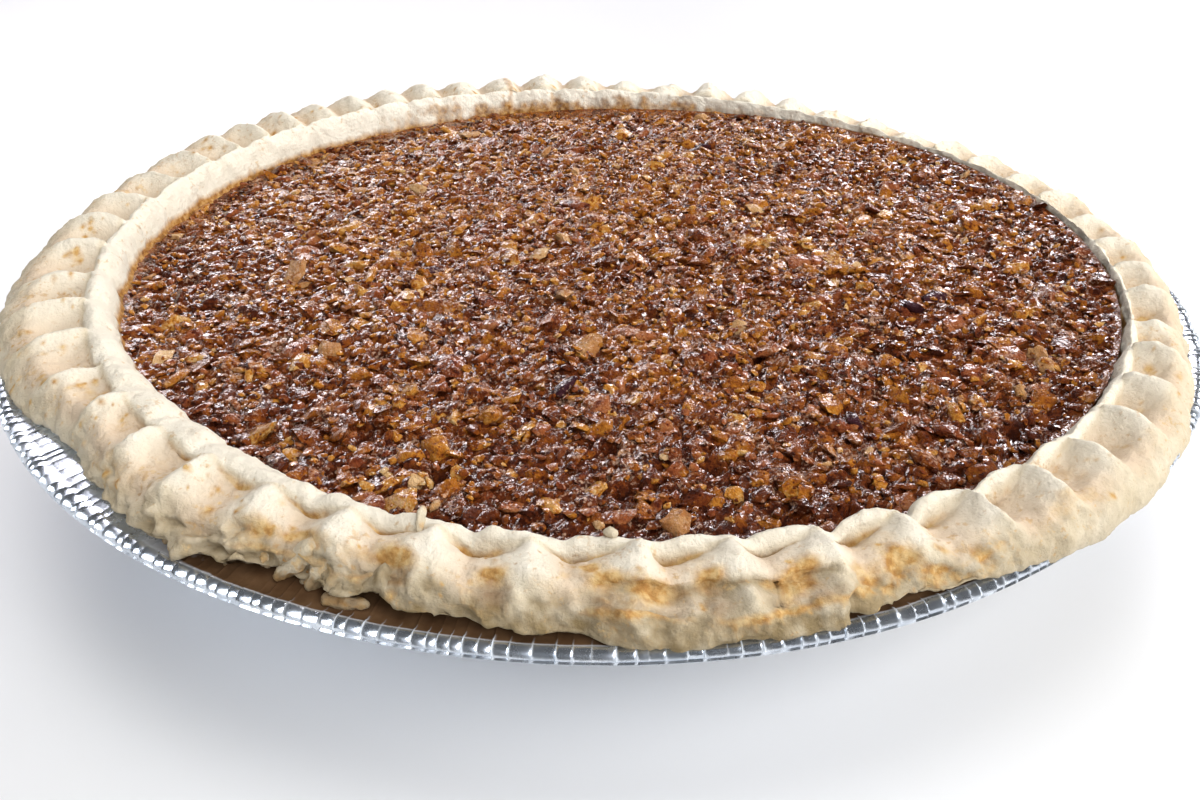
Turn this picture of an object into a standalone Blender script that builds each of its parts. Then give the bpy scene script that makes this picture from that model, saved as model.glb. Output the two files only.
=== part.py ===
"""A pecan pie in its foil tin: a thin pressed tin, a crimped pastry shell and a nut filling.

Units are metres and +Z is up. The origin is the centre of the tin's flat underside.
Angles are in degrees, counted from +X towards +Y, so the front of the pie is at 270.
"""
import math

import bmesh
import bpy

# ---- tin: a pressed foil pan with a sloping wall, a flat flange and a rolled bead ----
TIN_RIM_RADIUS = 0.1226
TIN_MOUTH_RADIUS = 0.1112
TIN_BASE_RADIUS = 0.0885
TIN_HEIGHT = 0.0300
FOIL = 0.0005
# Width and height of the bend at the foot of the wall, and of the one at its top.
FOOT_BEND = (0.0027, 0.0024)
MOUTH_BEND = (0.0017, 0.0014)
BEAD_RADIUS = 0.0013
BEAD_DROP = 0.0011
BEAD_TURN = (-140.0, 95.0)
BEAD_SIDES = 5
TIN_COLUMNS = 96

# The thin flange is bent by the pie's weight: higher on the left, lower on the right.
RIM_LIFT = 0.0025
RIM_LIFT_ANGLE = 180.0

# ---- gap kept between touching pieces ----
GAP = 0.0004

# ---- pastry shell ----
CRUST_FLOOR = 0.0040
CRUST_FLOOR_RADIUS = 0.0845
EDGE_RADIUS = 0.1196
PIT_RADIUS = 0.1060
PIT_CENTRE = (0.0023, -0.0023)
COLUMNS_PER_CRIMP = 4
CRIMP_START = 187.2
# Stretches of equal crimps round the rim: (number of crimps, degrees they cover).
CRIMP_STRETCHES = (
    (11, 77.8), (1, 7.6), (13, 85.7), (4, 29.0), (13, 84.7), (8, 46.8), (4, 28.4))
RIDGE_SHARPNESS = 2.2

# Stations across the top of the rim, from the filling outwards. Each has its share of the
# lip's width, its share of the crimp's length, its height above the flange in a hollow and
# on a ridge, and its share of the rim's rise.
RIM_STATIONS = (
    (0.22, 0.00, 0.0060, 0.0064, 0.2),
    (0.62, 0.00, 0.0082, 0.0086, 0.4),
    (0.95, 0.00, 0.0075, 0.0093, 0.5),
    (1.00, 0.08, 0.0050, 0.0099, 0.7),
    (1.00, 0.48, 0.0047, 0.0097, 1.0),
    (1.00, 0.84, 0.0042, 0.0070, 1.0),
)
# The blunt outer edge, the turn under it and the place where the pastry meets the flange.
NOSE_HEIGHT = 0.0026
NOSE_RISE_SHARE = 0.6
UNDER_HEIGHT = 0.0010
UNDER_SET_BACK = 0.0009
CONTACT_SET_BACK = 0.0040
# The rim stands higher at the back left and lower at the back right: (angle, spread, rise).
RIM_SWELLS = ((130.0, 42.0, 0.0022), (40.0, 28.0, -0.0014))

# Places where the edge is uneven: (angle, spread in degrees, reach outwards).
EDGE_SWELLS = (
    (150.0, 30.0, 0.0012),
    (196.0, 12.0, 0.0014),
    (221.0, 12.0, -0.0016),
    (247.5, 7.0, -0.0028),
    (302.0, 6.0, 0.0018),
    (345.0, 14.0, -0.0008),
)
# A thick ledge of dough that juts out under the crimps at the front. It grows slowly from
# its left end and breaks off at its right one: the angles are where each change happens.
LEDGE_LEFT = (268.0, 273.0)
LEDGE_RIGHT = (285.0, 286.0)
LEDGE_REACH = 0.0022

# ---- filling ----
FILLING_RADIUS = 0.1036
FILLING_CENTRE = (0.0029, -0.0012)
FILLING_GAP = 0.0006
# The lip is wide at the front left, where it leans in over the filling.
FILLING_SWELLS = ((228.0, 22.0, -0.0036), (196.0, 10.0, -0.0006))
FILLING_EDGE_HEIGHT = 0.0033
FILLING_CROWN = 0.0024
FILLING_RINGS = (0.90, 0.72, 0.50, 0.26)
# Low waves in the top: their height, and their radians per metre across and along.
WAVE_HEIGHT = 0.0006
WAVES_ACROSS = 62.0
WAVES_ALONG = 54.0
# A rough raised patch of nuts: its place, radius and height.
PATCH_CENTRE = (-0.047, 0.045)
PATCH_RADIUS = 0.011
PATCH_HEIGHT = 0.0016

# ---- finishes: name, colour, roughness and metallic value ----
FOIL_FINISH = ("foil", (0.80, 0.81, 0.83), 0.28, 1.0)
PASTRY_FINISH = ("pastry", (0.80, 0.68, 0.50), 0.75, 0.0)
FILLING_FINISH = ("nut_filling", (0.22, 0.08, 0.03), 0.30, 0.0)
# Edges that turn by more than this many degrees stay sharp.
SHARP_TURN = 50.0


def material(name, colour, roughness, metallic):
    """A plain Principled material."""
    result = bpy.data.materials.new(name)
    result.use_nodes = True
    shader = result.node_tree.nodes["Principled BSDF"]
    shader.inputs["Base Color"].default_value = (*colour, 1.0)
    shader.inputs["Roughness"].default_value = roughness
    shader.inputs["Metallic"].default_value = metallic
    return result


def mix(low, high, share):
    """The value a share of the way from low to high."""
    return low + (high - low) * share


def smooth_step(low, high, value):
    """0 below low, 1 above high and a smooth turn between."""
    share = min(max((value - low) / (high - low), 0.0), 1.0)
    return share * share * (3.0 - 2.0 * share)


def turn_between(angle, centre):
    """Signed difference of two angles, in degrees from -180 to 180."""
    return (angle - centre + 180.0) % 360.0 - 180.0


def circle_radius(angle, radius, centre):
    """Distance from the axis to a circle whose centre is a little off the axis."""
    turn = math.radians(angle)
    return radius + centre[0] * math.cos(turn) + centre[1] * math.sin(turn)


def swell_sum(angle, swells):
    """Sum of smooth bumps, each given by its angle, its spread and its size."""
    return sum(size * math.exp(-(turn_between(angle, centre) / spread) ** 2)
               for centre, spread, size in swells)


def place(angle, radius, height):
    """A point from its angle, its distance from the axis and its height."""
    turn = math.radians(angle)
    return (radius * math.cos(turn), radius * math.sin(turn), height)


def place_lifted(angle, radius, height):
    """The same for what rests on the tin's wall or flange, which is bent up or down."""
    share = min(height / TIN_HEIGHT, 1.0)
    lift = RIM_LIFT * math.cos(math.radians(angle - RIM_LIFT_ANGLE)) * share * share
    return place(angle, radius, height + lift)


def crimp_columns():
    """Columns round the rim: (angle, ridge share), 1 on a ridge and 0 in a hollow."""
    columns = []
    angle = CRIMP_START
    for count, degrees in CRIMP_STRETCHES:
        width = degrees / count
        for _ in range(count):
            for index in range(COLUMNS_PER_CRIMP):
                across = index / COLUMNS_PER_CRIMP
                ridge = abs(2.0 * across - 1.0) ** RIDGE_SHARPNESS
                columns.append((angle + width * across, ridge))
            angle += width
    return columns


def join_rings(mesh, sparse, dense):
    """Faces between two closed rings, where dense has a whole multiple of sparse's points."""
    share = len(dense) // len(sparse)
    for index, corner in enumerate(sparse):
        following = sparse[(index + 1) % len(sparse)]
        if share == 1:
            mesh.faces.new((corner, following, dense[(index + 1) % len(dense)], dense[index]))
            continue
        first = index * share
        points = [dense[(first + step) % len(dense)] for step in range(share + 1)]
        middle = share // 2
        for step in range(middle):
            mesh.faces.new((corner, points[step + 1], points[step]))
        mesh.faces.new((corner, following, points[middle]))
        for step in range(middle, share):
            mesh.faces.new((following, points[step + 1], points[step]))


def close_ring(mesh, ring, centre):
    """A fan of faces from a ring to a point in its middle."""
    hub = mesh.verts.new(centre)
    for index, corner in enumerate(ring):
        mesh.faces.new((corner, ring[(index + 1) % len(ring)], hub))


def solid_of_rings(name, rings, first_hub, last_hub, finish):
    """A closed solid from a stack of rings of points, closed at both ends by a fan."""
    mesh = bmesh.new()
    loops = [[mesh.verts.new(point) for point in ring] for ring in rings]
    for pair in zip(loops, loops[1:]):
        join_rings(mesh, *sorted(pair, key=len))
    close_ring(mesh, loops[0], first_hub)
    close_ring(mesh, loops[-1], last_hub)
    bmesh.ops.recalc_face_normals(mesh, faces=mesh.faces)
    bmesh.ops.triangulate(mesh, faces=mesh.faces)
    data = bpy.data.meshes.new(name)
    mesh.to_mesh(data)
    mesh.free()
    data.materials.append(material(*finish))
    data.shade_smooth()
    data.set_sharp_from_angle(angle=math.radians(SHARP_TURN))
    result = bpy.data.objects.new(name, data)
    bpy.context.scene.collection.objects.link(result)
    return result


def offset_profile(profile, distance):
    """A profile of (radius, height) moved sideways, to its left, by a distance."""
    moved = []
    for index, (radius, height) in enumerate(profile):
        before = profile[max(index - 1, 0)]
        after = profile[min(index + 1, len(profile) - 1)]
        normals = []
        for start, end in ((before, (radius, height)), ((radius, height), after)):
            length = math.dist(start, end)
            if length > 0.0:
                normals.append(((start[1] - end[1]) / length, (end[0] - start[0]) / length))
        across = sum(normal[0] for normal in normals) / len(normals)
        upward = sum(normal[1] for normal in normals) / len(normals)
        stretch = distance / (across * across + upward * upward)
        moved.append((radius + across * stretch, height + upward * stretch))
    return moved


def tin_inside():
    """Profile of the tin's inner side, from the middle of its floor to its flange."""
    return [
        (0.0, FOIL),
        (TIN_BASE_RADIUS, FOIL),
        (TIN_BASE_RADIUS + FOOT_BEND[0], FOIL + FOOT_BEND[1]),
        (TIN_MOUTH_RADIUS - MOUTH_BEND[0], TIN_HEIGHT - MOUTH_BEND[1]),
        (TIN_MOUTH_RADIUS, TIN_HEIGHT),
        (TIN_RIM_RADIUS - 2.0 * BEAD_RADIUS, TIN_HEIGHT),
    ]


def crust_outside():
    """Profile of the pastry's outer side, which follows the tin a gap away from it."""
    return offset_profile(tin_inside(), GAP)


def make_tin():
    """The foil pan: one thin closed shell with a rolled bead at its outer edge."""
    inside = tin_inside()
    outside = offset_profile(inside, -FOIL)
    bead = []
    for index in range(BEAD_SIDES):
        turn = math.radians(mix(*BEAD_TURN, index / (BEAD_SIDES - 1)))
        bead.append((TIN_RIM_RADIUS - BEAD_RADIUS + BEAD_RADIUS * math.cos(turn),
                     TIN_HEIGHT - BEAD_DROP + BEAD_RADIUS * math.sin(turn)))
    angles = [360.0 * index / TIN_COLUMNS for index in range(TIN_COLUMNS)]
    rings = [[place_lifted(angle, *point) for angle in angles]
             for point in outside[1:] + bead + inside[:0:-1]]
    return solid_of_rings("tin", rings, (0.0, *outside[0]), (0.0, *inside[0]), FOIL_FINISH)


def filling_edge(angle):
    """Distance from the axis to the pastry at the level of the filling's edge."""
    circle = circle_radius(angle, FILLING_RADIUS, FILLING_CENTRE)
    return circle + swell_sum(angle, FILLING_SWELLS)


def edge_radius(angle):
    """Distance from the axis to the pastry's outer edge, which is uneven."""
    return EDGE_RADIUS + swell_sum(angle, EDGE_SWELLS)


def ledge_reach(angle):
    """How far the ledge of dough juts out under the crimps."""
    turned = angle % 360.0
    start = smooth_step(*LEDGE_LEFT, turned)
    end = 1.0 - smooth_step(*LEDGE_RIGHT, turned)
    return LEDGE_REACH * start * end


def rim_section(angle, ridge):
    """Section of the pastry's rim, as (radius, height) from the filling to the flange."""
    inner = filling_edge(angle)
    pit = circle_radius(angle, PIT_RADIUS, PIT_CENTRE)
    edge = edge_radius(angle)
    rise = swell_sum(angle, RIM_SWELLS)
    section = []
    for lip_share, crimp_share, hollow, crest, rise_share in RIM_STATIONS:
        radius = inner + lip_share * (pit - inner) + crimp_share * (edge - pit)
        section.append((radius, mix(hollow, crest, ridge) + rise_share * rise))
    nose = edge + ledge_reach(angle)
    section.append((nose, NOSE_HEIGHT + NOSE_RISE_SHARE * rise))
    section.append((nose - UNDER_SET_BACK, UNDER_HEIGHT))
    section.append((edge - CONTACT_SET_BACK, GAP))
    return section


def make_crust():
    """The pastry shell: a bowl that lines the tin, with a crimped rim on the flange."""
    columns = crimp_columns()
    wall_angles = [angle for angle, _ in columns[::COLUMNS_PER_CRIMP // 2]]
    middle, foot, heel, shoulder, mouth, _ = crust_outside()
    floor = middle[1] + CRUST_FLOOR
    surface = TIN_HEIGHT + FILLING_EDGE_HEIGHT
    rings = [
        [place(angle, CRUST_FLOOR_RADIUS, floor) for angle in wall_angles],
        [place(angle, filling_edge(angle), surface) for angle, _ in columns],
    ]
    sections = [rim_section(*column) for column in columns]
    for station in zip(*sections):
        rings.append([place_lifted(angle, radius, TIN_HEIGHT + height)
                      for (angle, _), (radius, height) in zip(columns, station)])
    rings.append([place_lifted(angle, *mouth) for angle, _ in columns])
    for corner in (shoulder, heel, foot):
        rings.append([place_lifted(angle, *corner) for angle in wall_angles])
    return solid_of_rings("crust", rings, (0.0, 0.0, floor), (0.0, *middle), PASTRY_FINISH)


def filling_height(across, along, share):
    """Height of the filling's top, from its place and its share of the way to the edge."""
    crown = FILLING_CROWN * (1.0 - share * share)
    wave = WAVE_HEIGHT * math.sin(WAVES_ACROSS * across + 1.0) * math.sin(WAVES_ALONG * along)
    away = math.dist((across, along), PATCH_CENTRE) / PATCH_RADIUS
    patch = PATCH_HEIGHT * math.exp(-away * away)
    return TIN_HEIGHT + FILLING_EDGE_HEIGHT + crown + (wave + patch) * (1.0 - share ** 4)


def make_filling():
    """The nut filling: one solid that fills the pastry shell up to a low crown."""
    angles = [angle for angle, _ in crimp_columns()[::COLUMNS_PER_CRIMP // 2]]
    floor = crust_outside()[0][1] + CRUST_FLOOR + GAP
    rings = [[place(angle, CRUST_FLOOR_RADIUS - GAP, floor) for angle in angles]]
    for share in (1.0, *FILLING_RINGS):
        ring = []
        for angle in angles:
            radius = share * (filling_edge(angle) - FILLING_GAP)
            across, along, _ = place(angle, radius, 0.0)
            ring.append((across, along, filling_height(across, along, share)))
        rings.append(ring)
    top = filling_height(0.0, 0.0, 0.0)
    return solid_of_rings("filling", rings, (0.0, 0.0, floor), (0.0, 0.0, top), FILLING_FINISH)


def main():
    """Clear the scene and build the pie."""
    for item in list(bpy.data.objects):
        bpy.data.objects.remove(item, do_unlink=True)
    make_tin()
    make_crust()
    make_filling()


main()
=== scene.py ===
"""Pecan pie in a foil tin: the detailed pastry, tin, filling and chopped nuts.

Units are metres and +Z is up. Angles are in degrees, counted from +X towards +Y, so the
front of the pie is at 270.
"""
import math

import bmesh
import bpy
import numpy as np
from mathutils import Matrix, Vector


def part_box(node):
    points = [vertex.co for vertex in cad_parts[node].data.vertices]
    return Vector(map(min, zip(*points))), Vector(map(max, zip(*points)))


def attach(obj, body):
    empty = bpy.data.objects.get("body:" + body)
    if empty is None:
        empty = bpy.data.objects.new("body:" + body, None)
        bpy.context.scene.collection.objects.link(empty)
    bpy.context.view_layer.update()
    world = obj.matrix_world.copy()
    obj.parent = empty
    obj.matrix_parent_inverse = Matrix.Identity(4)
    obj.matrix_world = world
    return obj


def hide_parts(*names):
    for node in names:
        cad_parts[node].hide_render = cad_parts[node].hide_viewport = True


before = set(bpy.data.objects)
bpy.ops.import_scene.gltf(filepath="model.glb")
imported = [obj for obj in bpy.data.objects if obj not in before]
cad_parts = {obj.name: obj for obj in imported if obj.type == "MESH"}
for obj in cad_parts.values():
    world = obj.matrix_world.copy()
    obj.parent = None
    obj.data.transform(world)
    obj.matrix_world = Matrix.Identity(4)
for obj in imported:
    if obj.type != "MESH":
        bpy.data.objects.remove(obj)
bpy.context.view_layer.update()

# ---- the tin, whose box is taken from the CAD model ----
TIN_LOW, TIN_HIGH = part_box("tin")
# How much the foil's rim is raised at one side and lowered at the other.
RIM_LIFT = 0.0025
RIM_LIFT_ANGLE = 180.0
# The model's rolled bead, and how far its middle is below the flange.
BEAD_RADIUS = 0.0013
BEAD_DROP = 0.0011
RIM_RADIUS = (TIN_HIGH.x - TIN_LOW.x) / 2
# Heights on the rim count from the flange; the foil's top is as far above it as the seat.
FLANGE = TIN_HIGH.z - RIM_LIFT - BEAD_RADIUS + BEAD_DROP
SEAT = 0.0016
TIN_MOUTH_RADIUS = 0.1112
TIN_BASE_RADIUS = 0.0885
# Swells round the rim: angle, spread in degrees and size in metres. The foil's edge is bent
# up, and pushed in, at one place.
RIM_BENDS = ((312.0, 24.0, 0.0013),)
RIM_PUSHES = ((312.0, 24.0, -0.0013),)

# ---- the pastry's rim ----
EDGE_RADIUS = 0.1196
# The circle that parts the lip from the crimps.
PIT_RADIUS = 0.1060
PIT_CENTRE = (0.0023, -0.0023)
PIT_SWELLS = ((0.0, 40.0, -0.0012),)
# The crimps: where the first one starts, then how many there are in how many degrees.
CRIMP_START = 187.2
CRIMP_STRETCHES = (
    (11, 77.8), (1, 7.6), (13, 85.7), (4, 29.0), (13, 84.7), (8, 46.8), (4, 28.4))
CRIMPS = sum(count for count, _ in CRIMP_STRETCHES)
CRIMP_COLUMNS = 26
RIM_SWELLS = ((130.0, 42.0, 0.0022), (40.0, 28.0, -0.0014))
EDGE_SWELLS = (
    (150.0, 30.0, 0.0012), (196.0, 12.0, 0.0014), (222.5, 8.0, -0.0040), (240.5, 3.0, 0.0014),
    (247.5, 7.0, -0.0028), (259.0, 4.0, -0.0009), (312.0, 17.0, 0.0021), (340.0, 14.0, -0.0016))
# Where the pastry's lower edge stands off the foil, and where it hangs down.
EDGE_LIFTS = (
    (233.0, 10.0, 0.0010), (243.5, 3.5, 0.0016), (249.8, 1.5, -0.0004), (252.5, 2.2, 0.0012),
    (252.8, 2.0, 0.0014), (255.3, 0.9, 0.0042), (259.0, 3.5, 0.0016), (265.5, 3.0, 0.0006),
    (293.5, 6.0, 0.0012))
# A ledge that juts out at the front: the angles where it begins and ends, and its reach.
LEDGE_LEFT = (268.0, 273.0)
LEDGE_RIGHT = (285.3, 285.7)
LEDGE_REACH = 0.0022

# Stretches round the pie: the angle of the middle and how far it spreads, in degrees.
FRONT = (267.0, 36.0)
BACK = (90.0, 55.0)
FLATTER_CRIMPS = (231.0, 20.0)
BROKEN_PLACE = (292.5, 5.5)
TORN_EDGE = (241.0, 15.0)
SPLIT = (254.6, 0.8)
DROOPING_EDGE = (318.0, 20.0)
FRONT_TEETH = (269.0, 22.0)
HIGH_FILLING = (15.0, 45.0)
SYRUPY_BACK = (92.0, 36.0)
# Where the flange gets painted shade under the pastry.
SHADED_FLANGE = (268.0, 30.0)

# ---- the filling ----
FILLING_RADIUS = 0.1036
FILLING_CENTRE = (0.0029, -0.0012)
FILLING_SWELLS = ((228.0, 22.0, -0.0036), (196.0, 10.0, -0.0006), (355.0, 30.0, -0.0005))
FILLING_EDGE_HEIGHT = 0.0033
FILLING_CROWN = 0.0024
# A low mound in the filling, across and along.
PATCH_CENTRE = (-0.055, 0.008)
PATCH_RADIUS = 0.008


# ======== Numbers ========

HASH_FACTORS = (73856093, 19349663, 83492791, 2654435761)
HASH_STIR = 0x45D9F3B
HASH_MASK = 0xFFFFFFFF
HASH_SPLIT = 7919.13
NOISE_GAIN = 1.7


def hash_cells(i, j, k, seed):
    """Repeatable random numbers from 0 to 1, one for each whole-numbered cell."""
    first, second, third, fourth = HASH_FACTORS
    mixed = ((i * first) ^ (j * second) ^ (k * third) ^ (seed * fourth)) & HASH_MASK
    for _ in range(2):
        mixed = ((mixed ^ (mixed >> 16)) * HASH_STIR) & HASH_MASK
    return (mixed ^ (mixed >> 16)) / float(HASH_MASK)


def gradient_noise(points, size, seed):
    """Smooth noise of about -1 to 1, with features of the given size in metres."""
    spot = np.asarray(points, dtype=float) / size
    cell = np.floor(spot).astype(np.int64)
    inside = spot - cell
    fade = inside ** 3 * (inside * (inside * 6 - 15) + 10)
    total = np.zeros(spot.shape[:-1])
    for di, dj, dk in np.ndindex(2, 2, 2):
        corner = hash_cells(cell[..., 0] + di, cell[..., 1] + dj, cell[..., 2] + dk, seed)
        turn = corner * 2 * np.pi
        up = corner * HASH_SPLIT % 1.0 * 2 - 1
        flat = np.sqrt(1 - up * up)
        dot = ((inside[..., 0] - di) * np.cos(turn) * flat
               + (inside[..., 1] - dj) * np.sin(turn) * flat
               + (inside[..., 2] - dk) * up)
        weight = ((fade[..., 0] if di else 1 - fade[..., 0])
                  * (fade[..., 1] if dj else 1 - fade[..., 1])
                  * (fade[..., 2] if dk else 1 - fade[..., 2]))
        total += weight * dot
    return total * NOISE_GAIN


def layered_noise(points, size, seed, layers=3):
    """Several layers of smooth noise, each half the size and height of the one before."""
    total = 0.0
    for layer in range(layers):
        total = total + gradient_noise(points, size / 2 ** layer, seed + layer) / 2 ** layer
    return total


def cell_noise(points, size, seed):
    """Nearest and second nearest jittered points: (distances, offset to nearest, its hash)."""
    spot = points[..., :2] / size
    cell = np.floor(spot).astype(np.int64)
    zero = np.zeros_like(cell[..., 0])
    first = second = np.full(spot.shape[:-1], np.inf)
    offset = np.zeros(spot.shape)
    label = np.zeros(spot.shape[:-1])
    for di, dj in np.ndindex(3, 3):
        i, j = cell[..., 0] + di - 1, cell[..., 1] + dj - 1
        seat = np.stack([i + hash_cells(i, j, zero, seed),
                         j + hash_cells(i, j, zero, seed + 1)], axis=-1)
        away = spot - seat
        distance = np.hypot(away[..., 0], away[..., 1])
        nearer = distance < first
        second = np.where(nearer, first, np.minimum(second, distance))
        first = np.where(nearer, distance, first)
        offset = np.where(nearer[..., None], away, offset)
        label = np.where(nearer, hash_cells(i, j, zero, seed + 2), label)
    return first, second, offset, label


def smooth_step(low, high, value):
    """0 below low, 1 above high and a smooth turn between."""
    share = np.clip((value - low) / (high - low), 0.0, 1.0)
    return share * share * (3.0 - 2.0 * share)


def band(rise, fall, value):
    """0, then a smooth rise to 1 between the two values of rise, and a fall back to 0."""
    return smooth_step(*rise, value) * (1 - smooth_step(*fall, value))


def blend(first, second, share):
    """The first where the share is 0, the second where it is 1."""
    return first * (1 - share) + second * share


def bump_at(value, centre, spread, power=2):
    """1 where the value is at the centre, falling smoothly to 0 on both sides."""
    return np.exp(-((value - centre) / spread) ** power)


def spot_at(across, along, centre, spread, power=2):
    """A smooth spot: 1 where across and along are at the centre, 0 well outside its spread."""
    return np.exp(-((across - centre[0]) / spread[0]) ** power
                  - ((along - centre[1]) / spread[1]) ** 2)


def curve(table, value):
    """A smooth curve without overshoot through a table of (position, height)."""
    xs, ys = np.array(table).T
    steps = np.diff(xs)
    slopes = np.diff(ys) / steps
    bends = np.zeros(len(xs))
    same = slopes[:-1] * slopes[1:] > 0
    bends[1:-1][same] = 2 * slopes[:-1][same] * slopes[1:][same] / (
        slopes[:-1][same] + slopes[1:][same])
    bends[0], bends[-1] = slopes[0], slopes[-1]
    value = np.clip(value, xs[0], xs[-1])
    index = np.clip(np.searchsorted(xs, value, side="right") - 1, 0, len(steps) - 1)
    t = (value - xs[index]) / steps[index]
    return ((2 * t ** 3 - 3 * t ** 2 + 1) * ys[index]
            + (t ** 3 - 2 * t ** 2 + t) * steps[index] * bends[index]
            + (3 * t ** 2 - 2 * t ** 3) * ys[index + 1]
            + (t ** 3 - t ** 2) * steps[index] * bends[index + 1])


def turn_between(angle, centre):
    """Signed difference of two angles, in degrees from -180 to 180."""
    return (angle - centre + 180.0) % 360.0 - 180.0


def round_angle(angle, centre, spread, power=4):
    """1 round the given angle and 0 away from it; a higher power makes a flatter top."""
    return np.exp(-(turn_between(angle, centre) / spread) ** power)


def swell_sum(angle, swells):
    """Sum of smooth bumps, each given by its angle, its spread and its size."""
    total = np.zeros_like(angle)
    for centre, spread, size in swells:
        total = total + size * round_angle(angle, centre, spread, 2)
    return total


def circle_radius(angle, radius, centre):
    """Distance from the axis to a circle whose centre is a little off the axis."""
    turn = np.radians(angle)
    return radius + centre[0] * np.cos(turn) + centre[1] * np.sin(turn)


def bearing(across, along):
    """Angle in degrees at which a place is seen from the axis."""
    return np.degrees(np.arctan2(along, across))


def filling_edge(angle):
    """Distance from the axis to the pastry at the level of the filling's edge."""
    circle = circle_radius(angle, FILLING_RADIUS, FILLING_CENTRE)
    return circle + swell_sum(angle, FILLING_SWELLS)


def rim_lift(angle, height):
    """How far the bent foil raises what is at this height of the wall."""
    share = np.clip(height / FLANGE, 0.0, 1.0)
    return RIM_LIFT * np.cos(np.radians(angle - RIM_LIFT_ANGLE)) * share * share


def place(angle, radius, height):
    """Points from their angles, distances from the axis and heights."""
    turn = np.radians(angle)
    return np.stack(np.broadcast_arrays(
        radius * np.cos(turn), radius * np.sin(turn), height), axis=-1)


# ======== Meshes and materials ========

def make_object(name, points, faces, finish, attributes=(), sharp=None):
    """A mesh object with float values at its points; sharp is an angle in degrees."""
    mesh = bpy.data.meshes.new(name)
    faces = np.asarray(faces, dtype=np.int32)
    count, sides = faces.shape
    mesh.vertices.add(len(points))
    mesh.vertices.foreach_set("co", np.asarray(points, dtype=np.float32).ravel())
    mesh.loops.add(count * sides)
    mesh.loops.foreach_set("vertex_index", faces.ravel())
    mesh.polygons.add(count)
    mesh.polygons.foreach_set("loop_start", np.arange(0, count * sides, sides, dtype=np.int32))
    mesh.update(calc_edges=True)
    for key, values in attributes:
        layer = mesh.attributes.new(key, "FLOAT", "POINT")
        layer.data.foreach_set("value", np.asarray(values, dtype=np.float32).ravel())
    mesh.materials.append(finish)
    mesh.shade_smooth()
    if sharp:
        mesh.set_sharp_from_angle(angle=math.radians(sharp))
    result = bpy.data.objects.new(name, mesh)
    bpy.context.scene.collection.objects.link(result)
    return result


def grid_triangles(rows, columns, wrap):
    """Triangles of a grid of points kept row by row, closed round if wrap is set."""
    across = columns if wrap else columns - 1
    i, j = np.meshgrid(np.arange(rows - 1), np.arange(across), indexing="ij")
    following = (j + 1) % columns
    corners = [i * columns + j, i * columns + following,
               (i + 1) * columns + following, (i + 1) * columns + j]
    first, second, third, fourth = [corner.ravel() for corner in corners]
    return np.concatenate([np.stack([first, second, third], axis=-1),
                           np.stack([first, third, fourth], axis=-1)])


def grid_normals(grid):
    """Unit normals of a grid of points that is closed round its columns."""
    around = np.roll(grid, -1, axis=1) - np.roll(grid, 1, axis=1)
    down = np.gradient(grid, axis=0)
    normal = np.cross(around, down)
    return normal / np.maximum(np.linalg.norm(normal, axis=-1, keepdims=True), 1e-12)


def closed_tube(grid, first_hub, last_hub):
    """Points and triangles of a closed skin from rows of points, with a fan at each end."""
    rows, columns = grid.shape[:2]
    points = np.concatenate([grid.reshape(-1, 3), [first_hub, last_hub]])
    index = np.arange(columns)
    following = (index + 1) % columns
    last = (rows - 1) * columns
    hub = np.full(columns, rows * columns)
    triangles = np.concatenate([
        grid_triangles(rows, columns, True),
        np.stack([following, index, hub], axis=-1),
        np.stack([last + index, last + following, hub + 1], axis=-1)])
    return points, triangles[:, ::-1]


def ball_shape(level):
    """Points and faces of a ball with 12, 42 or 162 points, at level 1, 2 or 3."""
    mesh = bmesh.new()
    bmesh.ops.create_icosphere(mesh, subdivisions=level, radius=1.0)
    points = np.array([vert.co[:] for vert in mesh.verts])
    faces = np.array([[vert.index for vert in face.verts] for face in mesh.faces])
    mesh.free()
    return points, faces


def repeated_faces(faces, count, points_each):
    """Faces of many pieces of the same make, kept one after another."""
    return (faces[None] + (np.arange(count) * points_each)[:, None, None]).reshape(-1, 3)


def turned(points, axis, angle):
    """Points of each piece turned about one axis by the piece's own angle."""
    first, second = [(1, 2), (0, 2), (0, 1)][axis]
    cos, sin = np.cos(angle)[:, None], np.sin(angle)[:, None]
    result = points.copy()
    result[..., first] = points[..., first] * cos - points[..., second] * sin
    result[..., second] = points[..., first] * sin + points[..., second] * cos
    return result


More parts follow.
